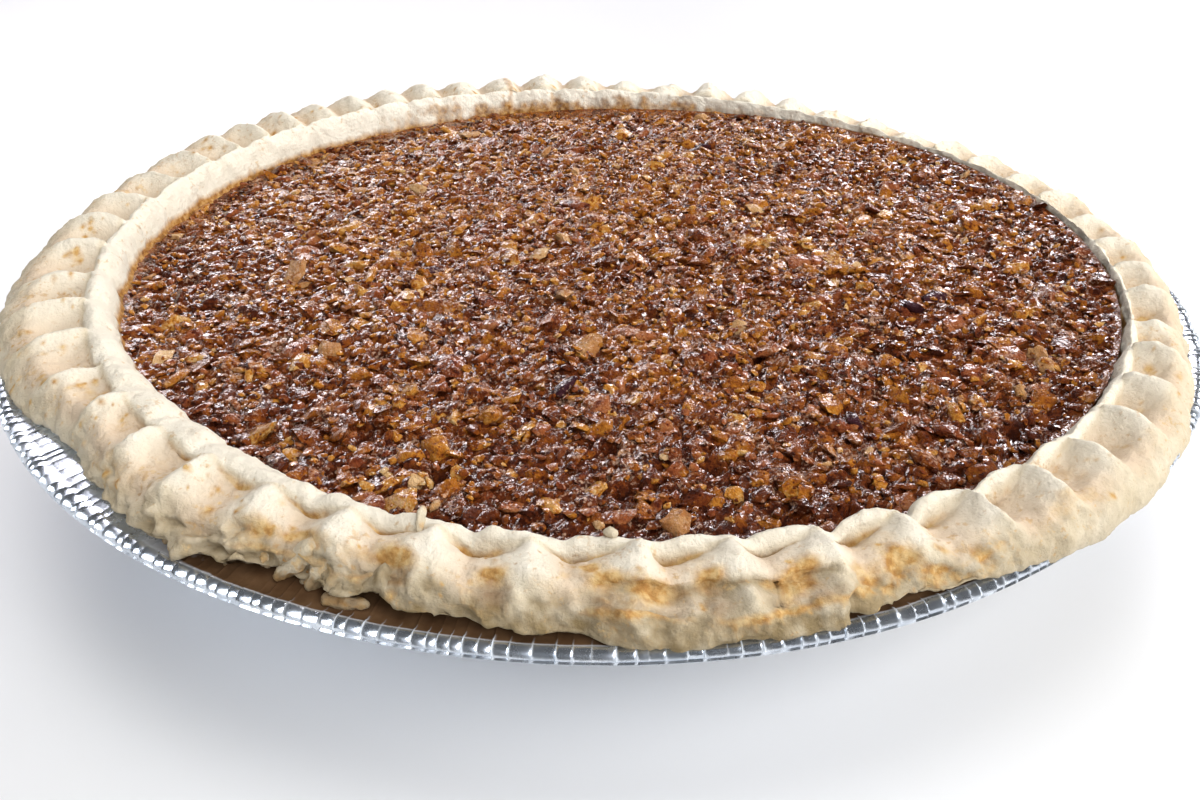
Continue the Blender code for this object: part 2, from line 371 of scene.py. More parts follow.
class Nodes:
    """Builds a node material step by step. Sizes of patterns are in metres."""

    def __init__(self, name):
        self.material = bpy.data.materials.new(name)
        self.material.use_nodes = True
        self.tree = self.material.node_tree
        self.shader = self.tree.nodes["Principled BSDF"]
        self.position = self.tree.nodes.new("ShaderNodeTexCoord").outputs["Object"]

    def feed(self, socket, value):
        """Sets an input from another node's socket, a colour or a number."""
        if isinstance(value, bpy.types.NodeSocket):
            self.tree.links.new(value, socket)
        elif isinstance(value, tuple):
            socket.default_value = (*value, 1.0)
        else:
            socket.default_value = value

    def node(self, kind, **inputs):
        """A new node with its inputs set by name, where _ stands for a space."""
        node = self.tree.nodes.new("ShaderNode" + kind)
        for name, value in inputs.items():
            self.feed(node.inputs[name.replace("_", " ")], value)
        return node

    def attribute(self, name):
        node = self.node("Attribute")
        node.attribute_name = name
        return node.outputs["Fac"]

    def noise(self, size, detail=4.0, roughness=0.55):
        return self.node("TexNoise", Vector=self.position, Scale=1.0 / size, Detail=detail,
                         Roughness=roughness).outputs["Fac"]

    def cells(self, size):
        return self.node("TexVoronoi", Vector=self.position,
                         Scale=1.0 / size).outputs["Distance"]

    def ramp(self, source, stops):
        """Colours along a value: stops are (position, colour)."""
        node = self.node("ValToRGB", Fac=source)
        elements = node.color_ramp.elements
        while len(elements) < len(stops):
            elements.new(0.5)
        for element, (position, colour) in zip(elements, stops):
            element.position = position
            element.color = (*colour, 1.0)
        return node.outputs["Color"]

    def span(self, source, low, high, to_low=0.0, to_high=1.0):
        """A value stretched from one range to another and held within it."""
        return self.node("MapRange", Value=source, From_Min=low, From_Max=high,
                         To_Min=to_low, To_Max=to_high).outputs["Result"]

    def math(self, kind, first, second):
        node = self.node("Math")
        node.operation = kind
        self.feed(node.inputs[0], first)
        self.feed(node.inputs[1], second)
        return node.outputs["Value"]

    def times(self, value, weight):
        return self.math("MULTIPLY", value, weight)

    def add(self, first, second, weight=1.0):
        """The first value, and the second times its weight."""
        return self.math("ADD", first, second if weight == 1.0 else self.times(second, weight))

    def mix(self, share, first, second):
        """A colour mixed from two, each a colour or a socket."""
        node = self.node("Mix", Factor=share)
        node.data_type = "RGBA"
        self.feed(node.inputs[6], first)
        self.feed(node.inputs[7], second)
        return node.outputs[2]

    def bump(self, height, distance, strength=1.0, target="Normal"):
        bump = self.node("Bump", Height=height, Distance=distance, Strength=strength)
        self.feed(self.shader.inputs[target], bump.outputs["Normal"])

    def finish(self, colour, roughness, **values):
        """Sets the shader's inputs and gives the finished material."""
        inputs = {"Base_Color": colour, "Roughness": roughness, **values}
        for name, value in inputs.items():
            self.feed(self.shader.inputs[name.replace("_", " ")], value)
        return self.material


CREAM_TONES = (
    (0.30, (0.670, 0.575, 0.415)),
    (0.50, (0.750, 0.665, 0.510)),
    (0.70, (0.810, 0.740, 0.600)))
GOLDEN_TONES = (
    (0.0, (0.44, 0.230, 0.075)),
    (0.5, (0.58, 0.350, 0.130)),
    (1.0, (0.68, 0.480, 0.230)))
SYRUP_TONES = (
    (0.0, (0.24, 0.095, 0.022)),
    (0.6, (0.43, 0.210, 0.055)),
    (1.0, (0.56, 0.330, 0.130)))
GLAZE_TONES = (
    (0.00, (0.040, 0.0080, 0.0030)),
    (0.20, (0.110, 0.0230, 0.0060)),
    (0.40, (0.210, 0.0560, 0.0090)),
    (0.58, (0.330, 0.1080, 0.0120)),
    (0.75, (0.440, 0.1750, 0.0240)),
    (0.90, (0.540, 0.2750, 0.0700)),
    (1.00, (0.620, 0.4100, 0.1900)))
RUSSET_TONES = (
    (0.00, (0.050, 0.0080, 0.0040)),
    (0.30, (0.150, 0.0320, 0.0110)),
    (0.60, (0.280, 0.0820, 0.0260)),
    (1.00, (0.440, 0.2100, 0.0850)))
FLESH_TONES = ((0.0, (0.34, 0.14, 0.045)), (0.5, (0.50, 0.28, 0.12)), (1.0, (0.66, 0.45, 0.24)))
DARK_TONES = (
    (0.0, (0.030, 0.008, 0.012)), (0.5, (0.075, 0.026, 0.034)), (1.0, (0.14, 0.06, 0.06)))
# The foil's blue tint is a painted reflection of cool light.
FOIL_TONES = ((0.3, (0.60, 0.66, 0.74)), (0.7, (0.80, 0.85, 0.92)))
# Painted shade on the flange, brown as a painted reflection of the pastry.
FLANGE_SHADE_TONES = ((0.3, (0.060, 0.031, 0.015)), (0.7, (0.110, 0.062, 0.032)))
FLOOR_TONES = ((0.3, (0.72, 0.73, 0.75)), (0.7, (0.76, 0.77, 0.79)))
# Painted shade in the hollows.
HOLLOW_SHADE_PASTRY = (0.69, 0.535, 0.390)
# Painted light on the lip and painted highlights on the ridges' crests.
PALE_LIT_PASTRY = (0.89, 0.845, 0.745)
# The dull outer face: browned pastry with painted shade.
DULL_SHADED_PASTRY = (0.285, 0.212, 0.110)
# Deep painted shade in the dips, the crevice above the ledge and on crumbs low by the foil.
DEEP_SHADE_PASTRY = (0.24, 0.135, 0.060)
# Painted highlight on the bead's creases.
CREASE_HIGHLIGHT_FOIL = (0.60, 0.66, 0.73)
FROTH_HIGHLIGHT = (0.66, 0.43, 0.30)


def pastry_material(name):
    """Pale baked shortcrust: mottled cream, painted shade in the hollows, painted light on the lip
    and crests, with golden specks.
    """
    nodes = Nodes(name)
    cream = nodes.ramp(nodes.noise(0.006, 6.0, 0.65), CREAM_TONES)
    hollow_shade = nodes.attribute("hollow_shade")
    # Painted shade in the hollows: a warmer, darker colour.
    warm = nodes.mix(nodes.times(hollow_shade, 0.80), cream, HOLLOW_SHADE_PASTRY)
    # Painted light on the lip, strongest at the back, and painted highlights along the ridges'
    # crests.
    warm = nodes.mix(nodes.times(nodes.attribute("pale"), 0.65), warm, PALE_LIT_PASTRY)
    uneven = nodes.span(nodes.noise(0.0035), 0.30, 0.62, 0.50, 1.0)
    # The outer face is duller: browned pastry with painted shade, and painted shade in the dips
    # and the crevice above the ledge.
    dull = nodes.mix(nodes.times(nodes.attribute("face"), uneven), warm, DULL_SHADED_PASTRY)
    # Specks about a millimetre across, gathered where a wider pattern allows them.
    specks = nodes.add(nodes.noise(0.0012, 3.0), nodes.noise(0.008, 2.0), 0.55)
    specks = nodes.span(nodes.add(specks, hollow_shade, 0.05), 0.905, 1.02, 0.0, 0.55)
    spots = nodes.add(nodes.attribute("golden"), nodes.noise(0.0018, 5.0), 0.8)
    spots = nodes.span(spots, 0.55, 1.15)
    speckle = nodes.span(nodes.noise(0.0014), 0.35, 0.62)
    browning_and_shade = nodes.mix(nodes.math("MAXIMUM", spots, specks), dull,
                        nodes.ramp(speckle, GOLDEN_TONES))
    # Deep painted shade in the dips, the crevice above the ledge and on crumbs low by the foil.
    deep_shade = nodes.add(nodes.attribute("deep_shade"), nodes.noise(0.0050, 5.0, 0.7), 2.2)
    browning_and_shade = nodes.mix(nodes.span(deep_shade, 1.25, 2.20, 0.0, 0.75), browning_and_shade, DEEP_SHADE_PASTRY)
    syrup = nodes.add(nodes.attribute("syrup"), nodes.noise(0.0016), 0.5)
    syrup = nodes.span(syrup, 0.45, 1.15)
    colour = nodes.mix(syrup, browning_and_shade, nodes.ramp(speckle, SYRUP_TONES))
    grain = nodes.add(nodes.noise(0.0008, 6.0, 0.7), nodes.noise(0.0026), 0.7)
    nodes.bump(grain, 0.0006)
    roughness = nodes.span(syrup, 0.0, 1.0, 0.75, 0.30)
    return nodes.finish(colour, roughness, Specular_IOR_Level=0.12)


def foil_material():
    """Bright thin aluminium with fine scratches, and painted shade on the flange under the pastry,
    brown as a painted reflection of the pastry.
    """
    nodes = Nodes("foil_bright")
    tone = nodes.noise(0.004, 3.0)
    uneven = nodes.span(nodes.noise(0.003), 0.25, 0.60, 0.70, 1.0)
    # Painted shade on the flange under the pastry: brown as a painted reflection of the pastry,
    # dull and not metallic.
    flange_shade = nodes.span(nodes.times(nodes.attribute("flange_shade"), uneven), 0.10, 0.55)
    colour = nodes.mix(flange_shade, nodes.ramp(tone, FOIL_TONES), nodes.ramp(tone, FLANGE_SHADE_TONES))
    nodes.bump(nodes.noise(0.0007, 3.0, 0.6), 0.00005, 0.4)
    # The bead's folded creases get a painted highlight: a pale colour, not metallic, so that they
    # look bright from every side.
    highlight = nodes.attribute("crease_highlight")
    colour = nodes.mix(highlight, colour, CREASE_HIGHLIGHT_FOIL)
    metallic = nodes.span(nodes.math("MAXIMUM", highlight, flange_shade), 0.0, 0.75, 0.95, 0.0)
    roughness = nodes.math("MAXIMUM", nodes.span(nodes.noise(0.003, 3.0), 0.3, 0.7, 0.20, 0.34),
                           nodes.times(flange_shade, 0.65))
    return nodes.finish(colour, roughness, Metallic=metallic, Specular_IOR_Level=0.0)


def glazed_material(name, low, high, mottle, stops=GLAZE_TONES, coat=1.0):
    """Nut or caramel under a wet glaze: low and high are the range of its tones."""
    nodes = Nodes(name)
    tone = nodes.span(nodes.attribute("tone"), 0.0, 1.0, low, high)
    vary = nodes.span(nodes.noise(0.0011, 6.0, 0.75), 0.30, 0.70, -mottle, mottle)
    wide = nodes.span(nodes.noise(0.012, 3.0), 0.30, 0.70, -0.08, 0.08)
    # Dark specks about a millimetre across: painted shade of small pits.
    wide = nodes.add(wide, nodes.span(nodes.noise(0.0017, 3.0), 0.33, 0.45, -0.42, 0.0))
    # Bubbles in the syrup: small dark pits of painted shade, and a pale froth of about half a
    # millimetre that also gives painted peach highlights.
    wide = nodes.add(wide, nodes.span(nodes.cells(0.0011), 0.10, 0.24, -0.45, 0.0))
    colour = nodes.ramp(nodes.add(nodes.add(tone, vary), wide), stops)
    froth_highlight = nodes.add(nodes.noise(0.0006, 2.0), nodes.noise(0.007, 2.0), 0.8)
    colour = nodes.mix(nodes.span(froth_highlight, 1.00, 1.16, 0.0, 0.6), colour, FROTH_HIGHLIGHT)
    relief = nodes.add(nodes.noise(0.00040, 3.0, 0.7), nodes.noise(0.0014, 3.0), 2.0)
    nodes.bump(relief, 0.0005)
    ripple = nodes.add(nodes.noise(0.0009, 2.0), nodes.noise(0.0021, 2.0), 2.0)
    nodes.bump(ripple, 0.00025, target="Coat Normal")
    roughness = nodes.span(nodes.noise(0.0018, 3.0), 0.3, 0.7, 0.20, 0.45)
    return nodes.finish(colour, roughness, Specular_IOR_Level=0.05, Coat_Weight=coat,
                        Coat_Roughness=0.04)


# ======== Pastry ========

def crimp_layout():
    """Columns round the rim: angle, place across the crimp from 0 to 1, crimp number."""
    angles, across, numbers = [], [], []
    angle, number = CRIMP_START, 0
    steps = np.arange(CRIMP_COLUMNS) / CRIMP_COLUMNS
    for count, degrees in CRIMP_STRETCHES:
        width = degrees / count
        for _ in range(count):
            angles.append(angle + width * steps)
            across.append(steps)
            numbers.append(np.full(CRIMP_COLUMNS, number))
            angle += width
            number += 1
    return np.concatenate(angles), np.concatenate(across), np.concatenate(numbers)


def rim_heights(stations, millimetres):
    """A table of heights in metres along the rim; the lip's stations are always the same."""
    return tuple(zip(LIP_STATIONS + stations, np.array(millimetres) / 1000))


# Heights above the flange, in millimetres. Stations run across the rim: 0 is at the filling,
# 1 at the lip's outer side and 2 at the outer edge.
LIP_STATIONS = (-0.06, 0.0, 0.12, 0.3, 0.5, 0.7, 0.86, 0.95)
HOLLOW_STATIONS = (1.02, 1.07, 1.16, 1.35, 1.55, 1.75, 1.9, 2.0)
HOLLOW_HEIGHTS = rim_heights(HOLLOW_STATIONS, (
    1.8, 3.4, 5.5, 7.1, 8.1, 8.6, 8.3, 7.4, 5.6, 4.8, 4.6, 4.7, 5.2, 5.6, 4.7, 3.4))
LEFT_HOLLOW_HEIGHTS = rim_heights(HOLLOW_STATIONS, (
    1.8, 3.4, 5.5, 7.1, 8.1, 8.6, 8.6, 8.3, 7.8, 7.3, 6.9, 6.5, 6.4, 6.0, 5.0, 3.6))
FRONT_HOLLOW_HEIGHTS = rim_heights((1.02, 1.07, 1.16, 1.28, 1.45, 1.62, 1.78, 1.92, 2.0), (
    1.8, 3.4, 5.5, 7.1, 8.1, 8.5, 8.2, 7.4, 6.3, 5.9, 6.4, 7.1, 7.4, 7.2, 6.6, 5.4, 4.0))
RIDGE_STATIONS = (1.05, 1.2, 1.35, 1.5, 1.65, 1.8, 1.92, 2.0)
RIDGE_HEIGHTS = rim_heights(RIDGE_STATIONS, (
    1.8, 3.4, 5.5, 7.0, 7.9, 8.3, 8.4, 8.6, 9.0, 9.5, 9.7, 9.3, 8.4, 7.0, 5.3, 3.7))
FRONT_RIDGE_HEIGHTS = rim_heights(RIDGE_STATIONS, (
    1.8, 3.4, 5.5, 7.2, 8.2, 8.7, 8.9, 9.1, 9.3, 9.5, 9.4, 9.0, 8.4, 7.4, 5.9, 4.1))
# How much of the rim's own rise or fall reaches each station.
RISE_SHARES = ((-0.06, 0.0), (0.0, 0.1), (0.5, 0.35), (1.0, 0.6), (1.5, 1.0), (2.0, 0.8))
# How sharp the ridges are along the rim, at the sides and at the front, where the crimps
# are short and the ridges widen into one broad face, and how round their crests are.
SIDE_POWERS = ((0.0, 2.0), (0.9, 2.7), (1.05, 3.4), (1.4, 3.0), (1.8, 1.9), (2.0, 1.4))
FRONT_POWERS = (
    (0.0, 2.0), (0.9, 2.0), (1.05, 1.8), (1.2, 1.3), (1.4, 1.0), (1.7, 0.8), (2.0, 0.8))
CREST_ROUNDING = 0.08
BACK_ROUNDING = 0.26
# How far the details of the rim stand out or go in, in metres.
BANK_HEIGHT = 0.0012
CORNER_DEPTH = 0.0013
LIP_RISE = 0.00055
LIP_NOTCH = 0.0011
LIP_BULGE = 0.0007
SPLIT_DEPTH = 0.0016
DROOP = 0.0030
RIM_ROWS = np.concatenate([
    np.linspace(-0.06, 0.86, 13), np.linspace(0.91, 1.16, 9), np.linspace(1.21, 1.78, 13),
    np.linspace(1.82, 2.0, 9)])
# Under the edge: shares of the tearing and of the ledge, step outwards, share of the top
# edge's height (the foot has the rest), step upwards, and share of the lift off the foil.
UNDERSIDE = (
    (1, 1.0, 0.0003, 0.80, 0.0, 0.0),
    (1, 1.0, 0.0004, 0.50, 0.0, 0.3),
    (1, 1.0, 0.0002, 0.25, 0.0, 0.6),
    (1, 1.0, -0.0001, 0.10, 0.0, 0.8),
    (1, 1.0, -0.0005, 0.0, 0.0, 1.0),
    (1, 0.9, -0.0010, 0.0, 0.0, 1.0),
    (1, 0.5, -0.0016, 0.0, -0.0001, 1.0),
    (1, 0.0, -0.0028, 0.0, -0.0002, 1.0),
    (0, 0.0, -0.0048, 0.0, -0.0003, 0.7),
    (0, 0.0, -0.0068, 0.0, -0.0004, 0.0))
# Down the inside of the tin and under the filling, where nothing shows: radius and height.
HIDDEN_ROWS = (
    (TIN_MOUTH_RADIUS - 0.0010, FLANGE + 0.0004), (TIN_BASE_RADIUS + 0.0018, 0.0033),
    (TIN_BASE_RADIUS - 0.001, 0.001))
CRUST_FLOOR_RADIUS = 0.0845
CRUST_FLOOR_TOP = 0.0049
CRUST_FLOOR_BOTTOM = 0.001


class Rim:
    """The columns round the rim: where each one is, and how its crimp and edge are shaped."""

    def __init__(self):
        angle, across, number = crimp_layout()
        self.angle, self.across, self.number = angle, across, number
        self.front = front = round_angle(angle, *FRONT)
        self.back = back = round_angle(angle, *BACK)
        self.shallow = round_angle(angle, *FLATTER_CRIMPS)
        self.broken = round_angle(angle, *BROKEN_PLACE)
        self.tatters = round_angle(angle, *TORN_EDGE)

        random = np.random.default_rng(11)
        self.depth = random.normal(1.0, 0.10, CRIMPS)[number]
        crest = random.normal(0.0, 0.00045, CRIMPS)
        self.crest = blend(crest[number], crest[(number + 1) % CRIMPS], across)
        skew = random.normal(0.22, 0.05, CRIMPS)[number]
        self.lean = random.normal(0.0, 0.05, CRIMPS)[number]
        self.lumps = random.normal(1.0, 0.35, CRIMPS)[number] * (0.45 + 0.55 * front)

        self.inner = filling_edge(angle)
        self.pit = circle_radius(angle, PIT_RADIUS, PIT_CENTRE) + swell_sum(angle, PIT_SWELLS)
        self.edge = EDGE_RADIUS + swell_sum(angle, EDGE_SWELLS)
        self.rise = swell_sum(angle, RIM_SWELLS)
        self.bend = swell_sum(angle, RIM_BENDS)
        self.dips = face_dips(angle, number)
        self.ring = ring = place(angle, self.edge, 0.0)
        tear = 0.0005 + 0.0003 * front + 0.0011 * self.tatters
        fine_tear = 0.0002 + 0.0004 * self.tatters
        self.torn = (gradient_noise(ring, 0.0055, 21) * tear
                     + gradient_noise(ring, 0.0024, 27) * fine_tear
                     - SPLIT_DEPTH * round_angle(angle, *SPLIT, 2))
        self.ledge = LEDGE_REACH * band(LEDGE_LEFT, LEDGE_RIGHT, angle % 360.0)
        gaps = 0.0004 * np.clip(gradient_noise(ring, 0.006, 29), 0, 2) * front
        self.lifted = swell_sum(angle, EDGE_LIFTS) + gaps

        # The deepest part of each hollow is towards the front of the pie.
        self.nearer = nearer = np.clip(2.5 * np.cos(np.radians(angle + 23.0)), -1.0, 1.0)
        self.deepest = deepest = 0.5 - skew * nearer
        side = np.where(across < deepest, 0.5 * across / deepest,
                        0.5 + 0.5 * (across - deepest) / (1 - deepest))
        away = 1.0 - np.abs(2.0 * side - 1.0)
        rounding = CREST_ROUNDING + (BACK_ROUNDING - CREST_ROUNDING) * back
        away = (np.sqrt(away ** 2 + rounding ** 2) - rounding) / (
            np.sqrt(1 + rounding ** 2) - rounding)
        self.wide = 1.0 - away
        self.dome = np.clip(1 - (np.minimum(across, 1 - across) / 0.47) ** 2.2, 0.0, 1.0)
        self.notch = bump_at(across, 0.5 - 0.30 * nearer, 0.13)
        self.swell = bump_at(across, 0.5 + 0.14 * nearer, 0.24)

    def row(self, q):
        """Distance from the axis, height above the flange and share of the ridge at q."""
        front, back, across = self.front, self.back, self.across
        power = blend(curve(SIDE_POWERS, q), curve(FRONT_POWERS, q), front)
        ridge = blend(self.wide ** power, self.dome, back)
        low = blend(curve(HOLLOW_HEIGHTS, q), curve(FRONT_HOLLOW_HEIGHTS, q), front)
        low = blend(low, curve(LEFT_HOLLOW_HEIGHTS, q), self.shallow)
        # The hollows of the sides end before the rim, in a low bank.
        low = low + BANK_HEIGHT * (1 - front) * (1 - back) * bump_at(q, 1.62, 0.16)
        moved = np.clip(q + self.lean * band((1.0, 1.3), (1.6, 1.9), q), -0.06, 2.0)
        high = blend(curve(RIDGE_HEIGHTS, moved), curve(FRONT_RIDGE_HEIGHTS, moved), front)
        gain = smooth_step(0.9, 1.1, q)
        height = high - (high - low) * (1 + (self.depth - 1) * gain) * (1 - ridge)
        # The deepest corner of each hollow is against the lip.
        corner = spot_at(across, q, (self.deepest + 0.04 * self.nearer, 1.06), (0.12, 0.06))
        height = height - CORNER_DEPTH * corner * (1 - 0.6 * back)
        height = height + self.crest * gain * ridge + self.rise * curve(RISE_SHARES, q)
        lip = band((0.0, 0.45), (0.85, 1.1), q)
        height = height + lip * self.lumps * (LIP_RISE * self.swell - LIP_NOTCH * self.notch)
        if q <= 1.0:
            pinch = self.lumps * (0.0009 * self.notch - 0.0005 * self.swell) * (1 - 0.6 * q)
            radius = self.inner + q * (self.pit - self.inner) + pinch
        else:
            radius = self.pit + (q - 1.0) * (self.edge - self.pit)
        radius = radius + LIP_BULGE * (1 - ridge) * bump_at(q, 0.98, 0.10)
        radius = radius + self.torn * smooth_step(1.80, 2.0, q)
        radius = radius + self.ledge * smooth_step(1.74, 1.83, q)
        crevice = bump_at(q, 1.71, 0.05) * self.ledge
        pocket = self.dips * spot_at(across, q, (0.66, 1.72), (0.17, 0.13))
        radius = radius - 0.5 * crevice - 0.0019 * pocket
        height = height - 0.4 * crevice - 0.0012 * pocket
        return radius, height + 0.6 * self.bend * smooth_step(1.5, 2.0, q), ridge

    def underside(self, top_edge):
        """The rows below the outer edge, down to the foil and back in."""
        # Along the right of the front the rim droops over the foil's bead.
        droop = round_angle(self.angle, *DROOPING_EDGE)
        foot = SEAT + 0.0003 + self.bend - DROOP * droop
        ridge = np.ones_like(self.angle)
        return [(self.edge + tear * self.torn + jut * self.ledge + out,
                 top * top_edge + (1 - top) * foot + up + lift * self.lifted, ridge)
                for tear, jut, out, top, up, lift in UNDERSIDE]


def roughen(rim, grid, station):
    """Uneven dough: soft waves everywhere, and a coarse crumb on the broken outer face."""
    front, tatters = rim.front, rim.tatters
    outer = band((1.60, 1.85), (2.02, 2.10), station)
    rough = layered_noise(grid, 0.0030, 41)
    cracks = bump_at(layered_noise(grid, 0.0050, 47, 2), 0.0, 0.09)
    folds = np.abs(gradient_noise(grid * np.array([1, 1, 1.5]), 0.0130, 54))
    slabs = np.abs(gradient_noise(grid * np.array([1, 1, 2.5]), 0.0060, 53))
    crumb = outer * (
        rough * (0.00018 + 0.00030 * front + 0.0004 * rim.broken + 0.0004 * tatters)
        - cracks * 0.0006 * front + (folds - 0.25) * 0.0022 * front
        + slabs * (0.0010 * front + 0.0014 * tatters))
    layer = station - 1.90 - 0.05 * gradient_noise(rim.ring, 0.012, 57)
    groove = bump_at(layer, 0.0, 0.035) * smooth_step(
        -0.2, 0.4, gradient_noise(rim.ring, 0.016, 59))
    crumb = crumb - groove * 0.0005 * front
    calm = 1 - 0.6 * band((0.2, 0.6), (0.8, 1.0), station)
    waves = (layered_noise(grid, 0.010, 31, 2) * 0.00040 * calm
             + layered_noise(grid, 0.0024, 35) * 0.00030)
    grid = grid + grid_normals(grid) * (waves + crumb)[..., None]
    # Browner on the broken place and golden in the cracks; painted shade, in golden tones, in the
    # groove above the lower layer at the front.
    browning_and_shade = (rim.broken * outer * np.clip(0.15 + 1.0 * rough, 0, 0.8)
               + (0.25 * cracks * outer + 0.7 * groove) * front)
    return grid, rough, browning_and_shade


def rim_looks(rim, grid, station, ridge, rough, browning_and_shade):
    """How each point of the rim is coloured: painted shade in the hollows, golden browning, syrup,
    a dull face (browned, with painted shade), deep painted shade, and painted light on the lip and
    crests.
    """
    across, dips, ledge = rim.across, rim.dips, rim.ledge / LEDGE_REACH
    # Painted shade in the hollows between the ridges.
    hollow_shade = (1 - ridge) * band((0.95, 1.1), (1.75, 2.0), station)
    # The outer face is duller, most at the front: partly browned pastry, partly painted shade on a
    # face that looks down.
    face = smooth_step(0.0, 1.0, (station - 1.62) / 0.40 + 0.25 * rough)
    face = face * (0.25 + 0.75 * rim.front)
    # Painted shade in the dips between the teeth and in the crevice above the ledge.
    dip_face = dips * spot_at(across, station, (0.68, 1.84), (0.22, 0.12))
    face = np.maximum(face, 0.95 * dip_face * (0.75 + rough))
    face = np.maximum(face, ledge * bump_at(station, 1.72, 0.05))
    # Deep painted shade in the lower part of each dip, and in patches along the crevice above the
    # ledge.
    deep_shade = 1.35 * dips * spot_at(across, station, (0.70, 1.84), (0.20, 0.10))
    patches = smooth_step(0.0, 0.3, layered_noise(grid, 0.006, 63))
    deep_shade = np.maximum(deep_shade, 0.8 * ledge * bump_at(station, 1.71, 0.05) * patches)
    # Painted light on the lip, strongest at the back, and painted highlights along the ridges'
    # crests.
    pale = np.maximum((0.9 + 0.5 * rim.back) * (1 - smooth_step(0.9, 1.02, station)),
                      ridge * band((1.0, 1.1), (1.5, 1.7), station))
    return {"hollow_shade": hollow_shade, "golden": golden_spots(rim, grid, station) + browning_and_shade,
            "syrup": syrup_stains(rim, grid, station), "face": face, "deep_shade": deep_shade,
            "pale": pale}


def make_crust():
    """The pastry shell with its crimped rim, torn edge, browned spots and syrup stains."""
    rim = Rim()
    angle = rim.angle
    rows = [rim.row(q) for q in RIM_ROWS]
    rows += rim.underside(rows[-1][1])
    station = np.concatenate([RIM_ROWS, 2.02 + 0.02 * np.arange(len(UNDERSIDE))])[:, None]
    ridge = np.stack([row[2] for row in rows])
    grid = np.stack([above_flange(angle, radius, height) for radius, height, _ in rows])
    grid, rough, browning_and_shade = roughen(rim, grid, station)
    looks = rim_looks(rim, grid, station, ridge, rough, browning_and_shade)

    hidden = [place(angle, radius, height + rim_lift(angle, height))
              for radius, height in HIDDEN_ROWS]
    floor = place(angle, CRUST_FLOOR_RADIUS, CRUST_FLOOR_TOP)
    grid = np.concatenate([floor[None], grid, np.stack(hidden)])
    points, triangles = closed_tube(
        grid, (0.0, 0.0, CRUST_FLOOR_TOP), (0.0, 0.0, CRUST_FLOOR_BOTTOM))
    before = np.zeros(len(angle))
    after = np.zeros(len(angle) * len(hidden) + 2)
    attributes = [(name, np.concatenate([before, values.ravel(), after]))
                  for name, values in looks.items()]
    return make_object(
        "pastry_shell", points, triangles, pastry_material("pastry_baked"), attributes)


def face_dips(angle, number):
    """How deep the dip between each two teeth of the front face is, from 0 to 1."""
    random = np.random.default_rng(7)
    return random.uniform(0.55, 1.0, CRIMPS)[number] * round_angle(angle, *FRONT_TEETH)


GOLDEN_SPOTS = 420
SPOT_STATIONS = [1.2, 1.3, 1.4, 1.5, 1.88, 1.7]
# Runs of syrup at the back: angle, width in degrees and the station they reach.
SYRUP_RUNS = ((105.0, 0.45, 1.9), (97.8, 0.60, 0.9))


def golden_spots(rim, grid, station):
    """How browned each point of the rim is: corners of the hollows, scattered spots, and painted
    shade in golden tones at the foot of the lip at the front.
    """
    angle, across = rim.angle, rim.across
    random = np.random.default_rng(5)
    corner = random.uniform(0.4, 1.0, CRIMPS)[rim.number]
    spots = corner * spot_at(across, station, (0.5 - 0.27 * rim.nearer, 1.07), (0.10, 0.05))
    middle = random.uniform(0.0, 0.6, CRIMPS)[rim.number] ** 1.5
    spots += middle * spot_at(across, station, (0.55, 1.3), (0.25, 0.25))
    # Browned dips in the front face, between the teeth.
    spots += 1.5 * rim.dips * spot_at(across, station, (0.66, 1.60), (0.17, 0.15))
    # Painted shade, in golden tones, at the foot of the lip where the hollows of the front begin.
    spots += 0.75 * rim.front * spot_at(across, station, (0.45, 1.05), (0.28, 0.045), 4)
    for _ in range(GOLDEN_SPOTS):
        spot_angle = random.choice([random.uniform(0.0, 360.0), random.normal(185.0, 30.0)])
        spot_station = random.choice(SPOT_STATIONS) + random.normal(0, 0.06)
        size = random.uniform(0.0002, 0.0009)
        turn = np.abs(turn_between(angle, spot_angle))
        centre = grid[np.argmin(np.abs(station[:, 0] - spot_station)), np.argmin(turn)]
        near = turn < 2.0
        away = np.linalg.norm((grid[:, near] - centre) * np.array([1.0, 1.0, 0.7]), axis=-1)
        spots[:, near] += random.uniform(0.3, 0.9) * bump_at(away, 0.0, size)
    patch = np.clip(layered_noise(grid, 0.009, 61, 2) * 1.3, 0, 1)
    return spots + patch * bump_at(station, 1.72, 0.16) * (0.15 + 0.85 * rim.front)


def syrup_stains(rim, grid, station):
    """Caramel that has soaked into the pastry along the filling and boiled over."""
    ragged = layered_noise(grid, 0.004, 71)
    right = round_angle(rim.angle, *HIGH_FILLING)
    line = 1 - smooth_step(-0.05, 0.03, station + 0.03 * ragged - 0.32 * right)
    back = round_angle(rim.angle, *SYRUPY_BACK)
    smear = back * (1 - smooth_step(-0.05, 0.45, station + 0.32 * ragged)) * 0.85
    stains = np.maximum(line, smear)
    for centre, width, reach in SYRUP_RUNS:
        away = turn_between(rim.angle, centre) + 0.6 * gradient_noise(grid, 0.003, 77)
        run = bump_at(away, 0.0, width) * (1 - smooth_step(reach - 0.2, reach, station))
        stains = np.maximum(stains, 0.65 * run)
    return stains


# Loose bits of pastry: angle, distance from the axis, height above the flange, half length,
# half width, half thickness, and how far the length is turned from the way to the axis.
CRUMBS = (
    (270.5, 0.1066, 0.0091, 0.0010, 0.0009, 0.0007, 20.0),
    (288.3, 0.1145, 0.0062, 0.0018, 0.0008, 0.0006, 65.0))
